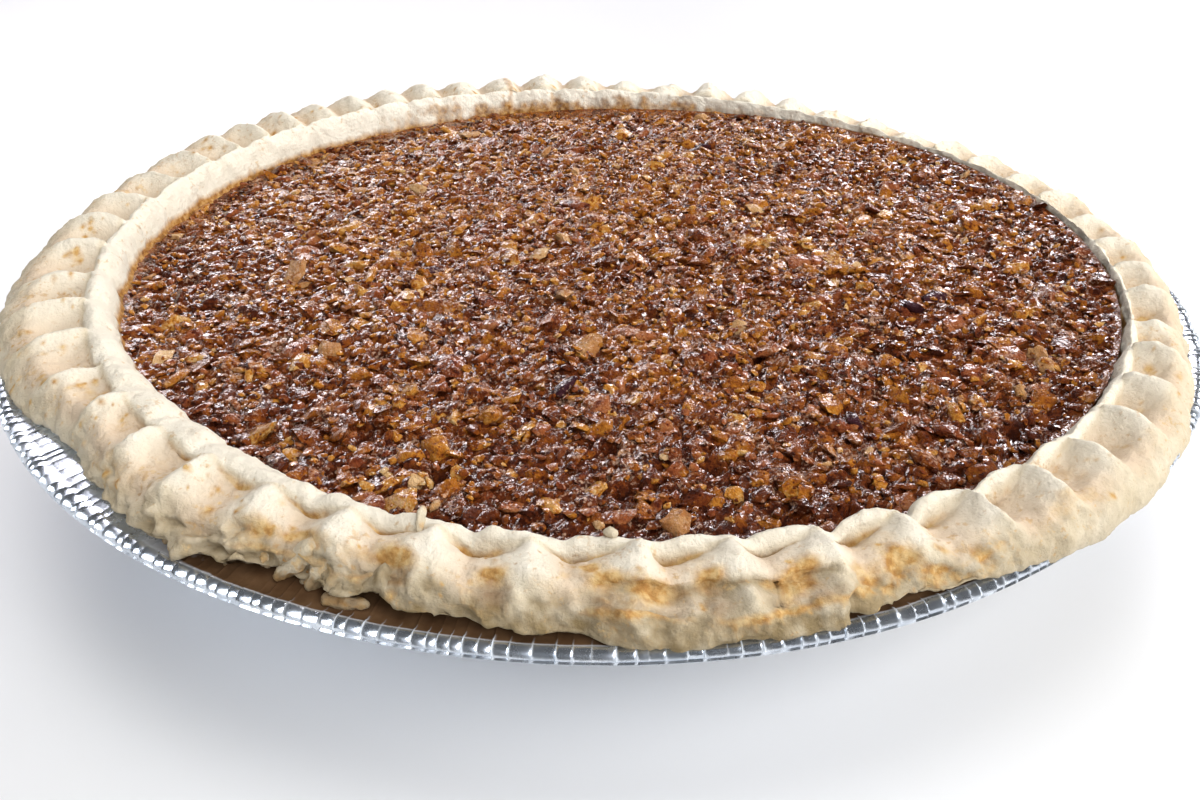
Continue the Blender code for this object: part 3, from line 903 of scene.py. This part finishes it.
# Fingers of pastry: angle, distance and height of the root and of the tip, and thickness.
FINGERS = (
    (249.4, 0.1140, 0.0060, 247.7, 0.1168, 0.0026, 0.0014),
    (251.2, 0.1146, 0.0050, 250.1, 0.1168, 0.0022, 0.0012),
    (252.4, 0.1150, 0.0046, 251.7, 0.1164, 0.0028, 0.0011),
    (251.7, 0.1184, 0.0019, 254.2, 0.1180, 0.0021, 0.0009),
    (256.1, 0.1048, 0.0092, 256.7, 0.1092, 0.0084, 0.0005))
# Lumps in the torn edge: how many, and ranges of their angles, heights and sizes.
LUMPS = 26
LUMP_ANGLES = (219.0, 251.0)
LUMP_HEIGHTS = (0.0012, 0.0055)
LUMP_SIZES = (0.0006, 0.0014)
# Crumbs and lumps lower than this above the flange get painted shade: the dull face colour and the
# deep painted shade.
SHADED_BELOW = 0.0042


def above_flange(angle, radius, height):
    """Points at a height above the bent flange of the tin."""
    return place(angle, radius, height + FLANGE + rim_lift(angle, FLANGE))


def drawn_out(ball, start, end, thick, bend):
    """A ball drawn out into a lumpy, slightly bent finger from start to end."""
    way = (end - start) / np.linalg.norm(end - start)
    side = np.cross(way, (0.0, 0.0, 1.0))
    side /= np.linalg.norm(side)
    along = ball[:, :1]
    lumpy = layered_noise(ball * (2.0, 0.6, 0.6) + start * 900, 1.0, 83)[:, None]
    width = thick * (1.1 - 0.2 * along) * np.maximum(1.0 - along ** 2, 0.05) ** -0.22
    width = width * (1.0 + 0.55 * lumpy)
    reach = np.linalg.norm(end - start) / 2 + thick
    bent = (1.0 - along ** 2) * thick * bend
    return ((start + end) / 2 + along * reach * way + (ball[:, 1:2] * width + bent) * side
            + ball[:, 2:] * width * np.cross(side, way))


def make_crumbs():
    """Broken bits of pastry on the lip, on the foil and along the torn edge at the left."""
    random = np.random.default_rng(43)
    # The lumps are half sunk in the edge.
    angle = random.uniform(*LUMP_ANGLES, LUMPS)
    height = random.uniform(*LUMP_HEIGHTS, LUMPS)
    size = random.uniform(*LUMP_SIZES, LUMPS)
    edge = EDGE_RADIUS + swell_sum(angle, EDGE_SWELLS)
    radius = edge - 0.0015 - 0.30 * np.maximum(height - 0.0020, 0.0)
    lumps = np.stack([
        angle, radius, height, size, size * random.uniform(0.6, 0.9, LUMPS),
        size * random.uniform(0.5, 0.9, LUMPS), random.uniform(0.0, 180.0, LUMPS)], axis=-1)
    table = np.concatenate([np.array(CRUMBS), lumps])
    ball, faces = ball_shape(3)
    points = np.repeat(ball[None], len(table), axis=0)
    shift = random.uniform(-1.0, 1.0, (len(table), 1, 3))
    points = points * (1.0 + 0.30 * layered_noise(points + 9.0 * shift, 1.1, 67))[..., None]
    points = turned(points * table[:, None, 3:6], 2, np.radians(table[:, 0] + table[:, 6]))
    points = points + above_flange(*table[:, 0:3].T)[:, None, :]
    fingers = np.array(FINGERS)
    root, tip = above_flange(*fingers[:, 0:3].T), above_flange(*fingers[:, 3:6].T)
    drawn = [drawn_out(ball, start, end, thick, random.uniform(-0.5, 0.5))
             for start, end, thick in zip(root, tip, fingers[:, 6])]
    points = np.concatenate([points, np.stack(drawn)])
    all_faces = repeated_faces(faces, len(points), len(ball))
    flat = points.reshape(-1, 3)
    golden = np.clip(layered_noise(flat, 0.002, 69, 2), 0.0, 0.6)
    low = flat[:, 2] < FLANGE + SHADED_BELOW
    return make_object("pastry_crumbs", flat, all_faces, pastry_material("pastry_crumb"),
                       (("golden", golden), ("face", 0.35 + 0.55 * low), ("deep_shade", 0.6 * low)))


# ======== Tin ========

FOIL_BLOCKS = 330
BLOCK_COLUMNS = (0.0, 0.07, 0.16, 0.50, 0.84, 0.93)
# How deep a block's own groove, and the next block's, is at each of these columns.
OWN_GROOVE = (1.0, 0.35, 0.0, 0.0, 0.0, 0.0)
NEXT_GROOVE = (0.0, 0.0, 0.0, 0.0, 0.0, 0.35)
FLUTES = 120
FLUTE_DEPTH = 0.00035
# How far a groove, a block's own offset and its own tilt move the ribbed foil up and outwards.
RIB_RISES = (0.00030, 0.00003, 0.00010)
RIB_STEPS = (0.00025, 0.00007, 0.00012)
# How far the dents move it outwards, and the height above which it moves outwards at all.
DENT = 0.00012
RIBS_FROM = 0.0295
# The radius where the painted highlight on the bead's creases begins, and the angles over which it
# fades in.
BEAD_FROM = 0.1196
CREASE_HIGHLIGHT_FADE_IN = (246.0, 256.0)
FOIL_TOP = FLANGE + SEAT
BEAD_CENTRE = RIM_RADIUS - BEAD_RADIUS - 0.0001
BEAD_MIDDLE = FLANGE + 0.0005
# The foil's section, from the middle of the base out, round the bead and back inside.
# The outside of the wall: radius, height, and shares of the ribs and of the flutes.
OUTER_WALL = (
    (0.0100, 0.0, 0, 0), (TIN_BASE_RADIUS - 0.004, 0.0, 0, 0),
    (TIN_BASE_RADIUS - 0.0002, 0.0, 0, 0.1), (TIN_BASE_RADIUS + 0.0012, 0.0006, 0, 0.5),
    (TIN_BASE_RADIUS + 0.0030, 0.0026, 0, 1), (0.0960, 0.0082, 0, 1), (0.1010, 0.0154, 0, 1),
    (0.1060, 0.0226, 0, 1), (0.1098, 0.0282, 0.2, 0.6))
# Under the flange, and later on top of it: radius, depth below its top, ribs, flutes.
UNDER_FLANGE = (
    (0.1111, 0.0014, 0.5, 0.2), (0.1122, 0.0007, 0.4, 0), (0.1150, 0.0007, 0.4, 0),
    (0.1185, 0.0007, 0.4, 0), (0.1195, 0.0009, 0.5, 0))
FLANGE_TOP = (
    (0.1198, 0.0002, 0.5, 0), (0.1192, 0.0001, 0.4, 0), (0.1180, 0.0, 0.4, 0),
    (0.1160, 0.0, 0.4, 0), (0.1135, 0.0001, 0.4, 0), (0.1118, 0.0002, 0.3, 0))
# Round the rolled bead: steps out and up from its middle, and the share of the ribs.
BEAD_STEPS = (
    (-0.0006, -0.0009, 0.6), (0.0002, -0.0012, 0.2), (0.0009, -0.0010, 0.1),
    (0.0012, -0.0006, 0.1), (0.00105, -0.0003, 0.6), (0.00125, 0.0, 1), (0.00110, 0.0005, 1),
    (0.0006, 0.0010, 1), (-0.0001, 0.0012, 1), (-0.0008, 0.0011, 1))
INNER_WALL = (
    (0.1098, 0.0300, 0.2, 0), (TIN_BASE_RADIUS + 0.0027, 0.0029, 0, 0),
    (TIN_BASE_RADIUS, 0.0005, 0, 0), (0.0100, 0.0005, 0, 0))


def foil_columns():
    """Columns round the tin: angle, groove depth, and each block's own offset and tilt."""
    random = np.random.default_rng(17)
    widths = random.uniform(0.62, 1.38, FOIL_BLOCKS)
    starts = np.concatenate([[0.0], np.cumsum(widths)])[:-1] * 360.0 / widths.sum()
    widths = widths * 360.0 / widths.sum()
    steps = np.array(BLOCK_COLUMNS)
    angle = (starts[:, None] + widths[:, None] * steps).ravel()
    deep = random.uniform(0.35, 1.0, FOIL_BLOCKS)
    groove = (deep[:, None] * np.array(OWN_GROOVE)
              + np.roll(deep, -1)[:, None] * np.array(NEXT_GROOVE)).ravel()
    tilt = (random.normal(0.0, 1.0, FOIL_BLOCKS)[:, None] * (steps - 0.5)).ravel()
    offset = np.repeat(random.normal(0.0, 1.0, FOIL_BLOCKS), len(steps))
    return angle, groove, offset, tilt


def foil_profile():
    """Rows of (radius, height, ribs, flutes) from the base round the bead and back."""
    rows = list(OUTER_WALL)
    rows += [(radius, FOIL_TOP - drop, *shares) for radius, drop, *shares in UNDER_FLANGE]
    rows += [(BEAD_CENTRE + out, BEAD_MIDDLE + up, ribs, 0) for out, up, ribs in BEAD_STEPS]
    rows += [(radius, FOIL_TOP - drop, *shares) for radius, drop, *shares in FLANGE_TOP]
    return rows + list(INNER_WALL)


def make_tin():
    """The foil pan: fluted wall, ribbed flange and a creased rolled bead."""
    angle, groove, offset, tilt = foil_columns()
    shaken = np.stack([groove, offset, tilt])
    ring = place(angle, RIM_RADIUS, 0.0)
    flute = np.cos(2 * np.pi * angle / 360.0 * FLUTES)
    dented = layered_noise(ring, 0.012, 85, 2)
    shade = round_angle(angle, *SHADED_FLANGE, 8)
    shade = shade * (1.0 + 0.25 * gradient_noise(ring, 0.008, 87))
    faded_in = smooth_step(*CREASE_HIGHLIGHT_FADE_IN, angle)
    bend = swell_sum(angle, RIM_BENDS)
    push = swell_sum(angle, RIM_PUSHES)
    grid, flange_shade, crease_highlight = [], [], []
    for radius, height, ribs, wall in foil_profile():
        raised = height + rim_lift(angle, height) + bend * smooth_step(0.0250, 0.0300, height)
        raised = raised + ribs * np.dot(RIB_RISES, shaken)
        pushed = radius + push * smooth_step(0.1160, 0.1210, radius)
        out = pushed - wall * FLUTE_DEPTH * (1 + flute) / 2
        if height > RIBS_FROM and wall == 0:
            out = out + ribs * (np.dot(RIB_STEPS, shaken) + DENT * dented - 0.0001)
        grid.append(place(angle, np.minimum(out, RIM_RADIUS + 0.0002), raised))
        # Where the pastry covers the flange at the front, it gets painted shade and a painted
        # brown reflection of the pastry.
        covered = 1.0 - smooth_step(0.1200, 0.1210, pushed - push)
        flange_shade.append(covered * np.clip(shade, 0, 1) * (height > FOIL_TOP - 0.0005))
        # Painted highlight along the bead's creases, from the front round to the right.
        rolled = (pushed > BEAD_FROM) * (height > BEAD_MIDDLE - 0.0004)
        crease_highlight.append(np.clip(groove * 1.3 - 0.3, 0, 1) * ribs * rolled * faded_in)
    points, triangles = closed_tube(np.stack(grid), (0, 0, 0.0), (0, 0, 0.0005))
    shaded_flange, highlighted_creases = (np.concatenate([np.stack(values).ravel(), [0.0, 0.0]])
                        for values in (flange_shade, crease_highlight))
    return make_object("foil_tin", points, triangles, foil_material(),
                       (("flange_shade", shaded_flange), ("crease_highlight", highlighted_creases)), 40.0)


# ======== Filling ========

CORE_SIDE = 300
CORE_FLOOR = FLANGE - 0.004
CORE_GAP = 0.0001
CORE_SINK = 0.0003
HOLE_DEPTH = 0.0019
MENISCUS = 0.0006
RIM_TONE = 0.42
# Scattered air holes: how many, how far out, and the range of their sizes.
HOLES = 70
HOLES_REACH = 0.098
HOLE_SIZES = (0.0007, 0.0019)
# Round holes seen near the front: share of the radius, angle and size.
ROUND_HOLES = (
    (0.968, 285.0, 0.0020), (0.975, 290.7, 0.0013), (0.94, 312.3, 0.0013),
    (0.56, 273.0, 0.0013), (0.60, 258.4, 0.0011))
# Lumps in the caramel: size, height, seed and weight in the tones.
CARAMEL_LUMPS = ((0.0040, 0.00075, 101, 0.6), (0.0019, 0.00035, 111, 0.4))


def disc_grid(side):
    """A square grid of points bent into a disc of radius 1."""
    line = np.linspace(-1.0, 1.0, side)
    a, b = np.meshgrid(line, line, indexing="ij")
    wide = np.abs(a) > np.abs(b)
    radius = np.where(wide, a, b)
    safe_a = np.where(a == 0, 1e-9, a)
    safe_b = np.where(b == 0, 1e-9, b)
    turn = np.where(wide, (np.pi / 4) * (b / safe_a), np.pi / 2 - (np.pi / 4) * (a / safe_b))
    return radius * np.cos(turn), radius * np.sin(turn)


def hole_layout():
    """Air holes in the filling: across, along and radius."""
    random = np.random.default_rng(23)
    radius = HOLES_REACH * np.sqrt(random.uniform(0.0, 1.0, HOLES))
    turn = random.uniform(0.0, 2 * np.pi, HOLES)
    size = random.uniform(*HOLE_SIZES, HOLES)
    share, angle, round_size = np.array(ROUND_HOLES).T
    out, around = share * filling_edge(angle), np.radians(angle)
    across = np.concatenate([radius * np.cos(turn) + FILLING_CENTRE[0], out * np.cos(around)])
    along = np.concatenate([radius * np.sin(turn), out * np.sin(around)])
    return across, along, np.concatenate([size, round_size])


def filling_share(across, along):
    """Share of the way from the axis to the filling's edge."""
    return np.hypot(across, along) / filling_edge(bearing(across, along))


def base_height(across, along):
    """The filling's top without its nuts."""
    share = np.clip(filling_share(across, along), 0.0, 1.0)
    crown = FILLING_CROWN * (1.0 - share * share)
    wave = 0.0006 * np.sin(62.0 * across + 1.0) * np.sin(54.0 * along)
    away = np.hypot(across - PATCH_CENTRE[0], along - PATCH_CENTRE[1]) / PATCH_RADIUS
    patch = 0.0013 * np.exp(-away * away)
    # At the right the filling comes up nearly to the top of the lip.
    right = round_angle(bearing(across, along), *HIGH_FILLING)
    return (FLANGE + FILLING_EDGE_HEIGHT + crown + (wave + patch) * (1.0 - share ** 4)
            + 0.0012 * right * share ** 3)


def hole_depth(across, along):
    """How deep the air holes go here, from 0 to 1."""
    total = np.zeros_like(across)
    for x, y, size in zip(*hole_layout()):
        near = (np.abs(across - x) < 4 * size) & (np.abs(along - y) < 4 * size)
        away = np.hypot(across[near] - x, along[near] - y) / size
        total[near] = np.maximum(total[near], np.exp(-away ** 4))
    return total


def amber_share(across, along):
    """Where the filling is more amber: in the middle and towards the back."""
    points = np.stack([across, along, np.zeros_like(across)], axis=-1)
    share = filling_share(across, along)
    patches = layered_noise(points, 0.028, 91, 2)
    return np.clip(0.62 + 0.30 * patches - 0.30 * share ** 3 + 1.6 * along, 0.1, 0.95)


def core_relief(across, along):
    """Height of the lumps in the caramel, and a tone of about 0 to 1 for each, darker at their
    borders as painted shade.
    """
    points = np.stack([across, along, np.zeros_like(across)], axis=-1)
    bend = [gradient_noise(points, 0.004, seed) for seed in (95, 96)]
    points = points + np.stack([*bend, np.zeros_like(across)], axis=-1) * 0.0008
    relief, tones = 0.0, 0.0
    for size, height, seed, weight in CARAMEL_LUMPS:
        first, second, offset, label = cell_noise(points, size, seed)
        tilt = (offset[..., 0] * (label * 97 % 1 - 0.5) + offset[..., 1] * (label * 53 % 1 - 0.5))
        gap = smooth_step(0.0, 0.22, second - first)
        relief = relief + height * ((label - 0.5) * 0.9 + tilt * 1.5 + gap * 0.9 - 0.5)
        # Tones are darker where lumps meet: painted shade in the crevices between them.
        tones = tones + weight * (label * 31 % 1) * (0.5 + 0.5 * gap)
    return relief, tones


def make_core():
    """The caramel under and between the nuts, as one closed solid."""
    disc_x, disc_y = disc_grid(CORE_SIDE)
    share = np.hypot(disc_x, disc_y)
    reach = filling_edge(bearing(disc_x, disc_y)) - CORE_GAP
    across, along = disc_x * reach, disc_y * reach
    relief, tones = core_relief(across, along)
    holes = hole_depth(across, along)
    calm = 1.0 - smooth_step(0.982, 0.998, share)
    meniscus = MENISCUS * smooth_step(0.982, 1.0, share)
    height = (base_height(across, along) - CORE_SINK + relief * calm + meniscus
              - HOLE_DEPTH * holes * calm)
    tone = 0.02 + 0.80 * amber_share(across, along) * (0.20 + 1.1 * tones)
    # Painted shade inside the air holes: their tone is made nearly black.
    tone = blend(tone * (1 - 0.95 * holes), RIM_TONE, smooth_step(0.982, 0.994, share))
    top = np.stack([across, along, height], axis=-1).reshape(-1, 3)
    # A skirt goes down from the edge of the top, and closes in one point below the middle.
    index = np.arange(len(top)).reshape(CORE_SIDE, CORE_SIDE)
    loop = np.concatenate([index[0, :-1], index[:-1, -1], index[-1, :0:-1], index[:0:-1, 0]])
    count = len(loop)
    skirt = top[loop] * np.array([0.97, 0.97, 0.0]) + np.array([0.0, 0.0, CORE_FLOOR])
    below = len(top) + np.arange(count)
    hub = np.full(count, len(top) + count)
    next_loop, next_below = np.roll(loop, -1), np.roll(below, -1)
    sides = np.concatenate([
        np.stack([loop, below, next_below], axis=-1),
        np.stack([loop, next_below, next_loop], axis=-1),
        np.stack([below, hub, next_below], axis=-1)])
    points = np.concatenate([top, skirt, [[0.0, 0.0, CORE_FLOOR]]])
    triangles = np.concatenate([grid_triangles(CORE_SIDE, CORE_SIDE, False), sides[:, ::-1]])
    tones = np.concatenate([tone.ravel(), np.full(count + 1, 0.3)])
    finish = glazed_material("caramel_core", 0.05, 0.85, 0.26)
    return make_object("caramel", points, triangles, finish, (("tone", tones),))


# How each sort of nut is cut: range of its half length, width and thickness for its size,
# the ball's level, flat cuts, tilt, share sunk in the caramel and angle of a sharp edge.
CHOPPED = {"shape": ((0.9, 1.5), (0.75, 1.1), (0.35, 0.60)), "level": 2, "cuts": 5,
           "tilt": 0.26, "sink": 0.75, "sharp": 50.0}
PALE_PIECE = {**CHOPPED, "cuts": 6, "tilt": 0.40, "sink": 0.30, "sharp": 40.0}
DARK_PIECE = {**CHOPPED, "shape": ((1.2, 1.6), (0.6, 0.8), (0.4, 0.6)), "cuts": 4,
              "tilt": 0.2, "sink": 0.25}
CRUMBLED = {**CHOPPED, "shape": ((0.9, 1.7), (0.8, 1.2), (0.45, 0.75)), "level": 1,
            "cuts": 2, "tilt": 0.30, "sink": 0.45}
# Kinds of nut: range of the tones, mottling, and colours.
NUT_KINDS = {
    "amber": (0.40, 0.88, 0.28, GLAZE_TONES),
    "honey": (0.53, 0.97, 0.28, GLAZE_TONES),
    "brown": (0.20, 0.67, 0.22, GLAZE_TONES),
    "russet": (0.30, 0.76, 0.20, RUSSET_TONES),
    "skin": (0.02, 0.40, 0.16, GLAZE_TONES),
}
# Above this share of the draws a nut shows its pale flesh.
PLAIN_SHARE = 0.986
# Large pale pieces: share of the filling's radius, angle, and half length.
PALE_CHIPS = (
    (0.27, 255.0, 0.0024), (0.53, 200.0, 0.0019), (0.955, 276.0, 0.0030),
    (0.92, 326.0, 0.0024), (0.46, 303.0, 0.0017), (0.94, 255.0, 0.0016))
# Long dark pieces of skin, in the same way.
DARK_CHIPS = (
    (0.692, 337.0, 0.0024), (0.666, 330.5, 0.0021), (0.653, 66.5, 0.0023),
    (0.612, 263.7, 0.0022), (0.38, 205.0, 0.0020), (0.80, 300.0, 0.0019))
HEXAGON_STEP = 0.8660254
NUT_SPACING = 0.0034
NUT_SIZE = 0.00148
NUT_LIMITS = (0.0008, 0.0031)
CRUMBLE_SPACING = 0.0025
CRUMBLE_SIZES = (0.00030, 0.00090)


def make_chips(name, spots, sizes, finish, seed, cut, spread=0.0):
    """Chopped nuts: balls cut flat by random planes, stretched, turned and half sunk."""
    random = np.random.default_rng(seed)
    ball, faces = ball_shape(cut["level"])
    count = len(spots)
    points = np.repeat(ball[None], count, axis=0)
    for _ in range(cut["cuts"]):
        plane = random.normal(size=(count, 3))
        plane /= np.linalg.norm(plane, axis=1, keepdims=True)
        limit = random.uniform(0.40, 0.85, (count, 1))
        beyond = np.maximum(np.einsum("nvk,nk->nv", points, plane) - limit, 0.0)
        points = points - beyond[..., None] * plane[:, None, :]
    points = points * random.uniform(0.78, 1.20, (count, len(ball), 1))
    scale = np.stack([random.uniform(*limits, count) for limits in cut["shape"]], axis=-1)
    points = points * scale[:, None, :] * sizes[:, None, None]
    lean = random.normal(0.0, cut["tilt"], (count, 2))
    turn = random.uniform(0.0, 2 * np.pi, count)
    for axis, angle in enumerate((lean[:, 0], lean[:, 1], turn)):
        points = turned(points, axis, angle)
    across, along = spots.T
    relief, _ = core_relief(across, along)
    height = base_height(across, along) + relief * 0.6
    height = height + sizes * scale[:, 2] * (0.5 - cut["sink"])
    height = height + random.uniform(0.0, 1.0, count) * spread
    points = points + np.stack([across, along, height], axis=-1)[:, None, :]
    tone = random.uniform(0.0, 1.0, count)[:, None] * 0.62 + 0.19
    tone = tone + 0.30 * layered_noise(points, 0.0030, 131, 2)
    tone = tone + random.normal(0.0, 0.07, points.shape[:2])
    return make_object(name, points.reshape(-1, 3), repeated_faces(faces, count, len(ball)),
                       finish, (("tone", np.clip(tone, 0.0, 1.0)),), cut["sharp"])


def scatter(spacing, seed, jitter=0.42, edge=0.990):
    """Spots over the filling on a shaken grid, clear of the air holes."""
    random = np.random.default_rng(seed)
    line = np.arange(-0.112, 0.112, spacing)
    a, b = np.meshgrid(line, line * HEXAGON_STEP, indexing="ij")
    a = a + (np.arange(len(line)) % 2)[None, :] * spacing / 2
    spots = np.stack([a.ravel(), b.ravel()], axis=-1)
    spots = spots + random.uniform(-jitter, jitter, spots.shape) * spacing
    spots = spots[filling_share(*spots.T) < edge]
    return spots[hole_depth(*spots.T) < 0.2], random


def sort_kinds(draw, spots):
    """Which kind of nut each draw from 0 to 1 stands for: more amber where the filling is."""
    share = amber_share(*spots.T)
    amber, honey = share * 0.50, share * 0.22
    limits = np.stack([amber, amber + honey, amber + honey + 0.30, amber + honey + 0.52])
    kinds = np.array(list(NUT_KINDS))[(draw[None] > limits).sum(axis=0)]
    return np.where(draw > PLAIN_SHARE, "flesh", kinds)


def listed_spots(table):
    """Places and sizes of pieces listed by share of the radius, angle and size."""
    share, turn, size = np.array(table).T
    radius, turn = share * FILLING_RADIUS, np.radians(turn)
    return np.stack([radius * np.cos(turn), radius * np.sin(turn)], axis=-1), size


def make_nuts():
    """All the chopped nuts, sorted into kinds."""
    finishes = {kind: glazed_material("nut_" + kind, *look) for kind, look in NUT_KINDS.items()}
    flesh = glazed_material("nut_flesh", 0.0, 1.0, 0.15, FLESH_TONES, 0.4)
    dark = glazed_material("nut_dark", 0.0, 0.5, 0.2, DARK_TONES)

    spots, random = scatter(NUT_SPACING, 201)
    draw = random.uniform(0.0, 1.0, len(spots))
    sizes = np.clip(NUT_SIZE * np.exp(random.normal(0.0, 0.38, len(spots))), *NUT_LIMITS)
    kinds = sort_kinds(draw, spots)
    made = [make_chips("nuts_" + kind, spots[kinds == kind], sizes[kinds == kind], finish,
                       301 + index, CHOPPED)
            for index, (kind, finish) in enumerate(finishes.items())]

    pale = kinds == "flesh"
    places, listed = listed_spots(PALE_CHIPS)
    places = np.concatenate([spots[pale], places])
    listed = np.concatenate([sizes[pale] * 1.1, listed])
    made.append(make_chips("nuts_flesh", places, listed, flesh, 309, PALE_PIECE))
    made.append(make_chips("nuts_dark", *listed_spots(DARK_CHIPS), dark, 311, DARK_PIECE))

    spots, random = scatter(CRUMBLE_SPACING, 211)
    sizes = random.uniform(*CRUMBLE_SIZES, len(spots))
    kinds = sort_kinds(random.uniform(0.0, 0.97, len(spots)), spots)
    made += [make_chips("crumbs_" + kind, spots[kinds == kind], sizes[kinds == kind], finish,
                        321 + index, CRUMBLED, spread=0.0004)
             for index, (kind, finish) in enumerate(finishes.items())]
    return made


# ======== Floor, light and camera ========

FLOOR_SIZE = 3.0
FLOOR_DROP = 0.0002
WORLD_COLOUR = (0.92, 0.94, 1.0, 1.0)
WORLD_STRENGTH = 0.06
LIGHT_TARGET = Vector((0.0, 0.0, 0.03))
# Lights: name, place, width and height, power and colour. The soft ones do not show in
# reflections. The others only shine in them: four on everything, four on the foil alone.
SOFT_LIGHTS = (
    ("key", (-0.34, 0.94, 0.60), (0.40, 0.30), 1.8, (0.93, 0.92, 1.0)),
    ("right", (0.44, 0.95, 0.56), (0.32, 0.36), 4.4, (0.94, 0.92, 1.0)),
    ("top", (0.0, 0.05, 1.2), (0.8, 0.7), 6.9, (1.0, 0.99, 0.96)),
    ("front", (0.52, -0.91, 0.80), (1.5, 1.0), 17.9, (1.0, 0.98, 0.955)),
    ("left_side", (-1.0, -0.25, 0.45), (0.6, 0.5), 0.6, (1.0, 0.98, 0.95)),
    ("right_side", (1.0, -0.10, 0.40), (0.6, 0.5), 8.5, (1.0, 0.98, 0.95)))
GLINT_LIGHTS = (
    ("glints", (-0.46, 0.78, 0.48), (0.36, 0.26), 3.8, (0.97, 0.92, 0.98)),
    ("glints_right", (0.46, 0.92, 0.46), (0.30, 0.26), 4.2, (0.98, 0.92, 0.97)),
    ("glints_back", (-0.16, 1.00, 0.52), (0.30, 0.20), 1.6, (1.0, 0.90, 0.88)),
    ("broad", (-0.72, 0.80, 0.42), (0.7, 0.5), 1.6, (0.97, 0.93, 0.97)))
FOIL_LIGHTS = (
    ("window", (-0.90, -0.33, 0.46), (0.9, 0.5), 14.0, (0.94, 0.96, 1.0)),
    ("window_right", (0.95, 0.40, 0.30), (0.4, 0.3), 3.0, (0.94, 0.95, 1.0)),
    ("bead_front", (0.0, -1.1, 0.75), (1.6, 0.8), 0.30, (0.84, 0.91, 1.0)),
    ("bead_left", (-1.0, -0.9, 0.60), (1.3, 0.9), 2.2, (0.94, 0.96, 1.0)))
# The camera: its distance from the middle of the pie and its angles in degrees.
LENS = 33.0
SENSOR_WIDTH = 36.0
DISTANCE = 0.24692
ELEVATION = 24.7386
PITCH = 31.8051
YAW = -0.1646
ROLL = -0.4827


def make_floor():
    """A pale floor under the tin."""
    nodes = Nodes("floor_pale")
    finish = nodes.finish(nodes.ramp(nodes.noise(0.35, 2.0), FLOOR_TONES), 0.5)
    points = [(x * FLOOR_SIZE, y * FLOOR_SIZE, 0) for x, y in ((-1, -1), (1, -1), (1, 1), (-1, 1))]
    floor = make_object("floor", points, [(0, 1, 2, 3)], finish)
    floor.location.z = -FLOOR_DROP


def area_light(name, place_at, size, energy, colour):
    """A rectangular light that faces the pie."""
    data = bpy.data.lights.new(name, "AREA")
    data.shape = "RECTANGLE"
    data.size, data.size_y = size
    data.energy = energy
    data.color = colour
    light = bpy.data.objects.new(name, data)
    bpy.context.scene.collection.objects.link(light)
    light.location = place_at
    aim = LIGHT_TARGET - Vector(place_at)
    light.rotation_euler = aim.to_track_quat("-Z", "Y").to_euler()
    return light


def make_light():
    """The dim room and all the lights."""
    world = bpy.data.worlds.new("studio")
    bpy.context.scene.world = world
    world.use_nodes = True
    background = world.node_tree.nodes["Background"]
    background.inputs["Color"].default_value = WORLD_COLOUR
    background.inputs["Strength"].default_value = WORLD_STRENGTH
    for row in SOFT_LIGHTS:
        area_light(*row).visible_glossy = False
    for row in GLINT_LIGHTS:
        area_light(*row).visible_diffuse = False
    foil = bpy.data.collections.new("foil")
    foil.objects.link(bpy.data.objects["foil_tin"])
    for row in FOIL_LIGHTS:
        light = area_light(*row)
        light.visible_diffuse = False
        light.light_linking.receiver_collection = foil


def make_camera():
    """The camera at the photograph's place: near, above the front edge, looking down."""
    data = bpy.data.cameras.new("camera")
    data.sensor_width = SENSOR_WIDTH
    data.lens = LENS
    data.clip_start = 0.01
    camera = bpy.data.objects.new("camera", data)
    scene = bpy.context.scene
    scene.collection.objects.link(camera)
    elevation, pitch, yaw, roll = (math.radians(angle) for angle in (ELEVATION, PITCH, YAW, ROLL))
    place_at = Vector((0.0, -DISTANCE * math.cos(elevation),
                       DISTANCE * math.sin(elevation) + FLANGE))
    ahead = Vector((math.sin(yaw) * math.cos(pitch), math.cos(yaw) * math.cos(pitch),
                    -math.sin(pitch)))
    right = ahead.cross(Vector((0, 0, 1))).normalized()
    up = right.cross(ahead)
    turned_right = math.cos(roll) * right + math.sin(roll) * up
    turned_up = math.cos(roll) * up - math.sin(roll) * right
    axes = Matrix((turned_right, turned_up, -ahead)).transposed().to_4x4()
    camera.matrix_world = Matrix.Translation(place_at) @ axes
    scene.camera = camera


def main():
    """The pie's pieces, each attached to the root, then the stage round them."""
    crust = make_crust()
    tin = make_tin()
    core = make_core()
    nuts = make_nuts()
    crumbs = make_crumbs()
    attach(crumbs, "root")
    for piece, name in ((crust, "pastry"), (tin, "foil"), (core, "nut_filling")):
        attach(piece, "root")
    for piece in nuts:
        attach(piece, "root")
    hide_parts("crust")
    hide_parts("tin")
    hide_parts("filling")
    make_floor()
    make_light()
    make_camera()
    bpy.context.scene.view_settings.view_transform = "Standard"


main()
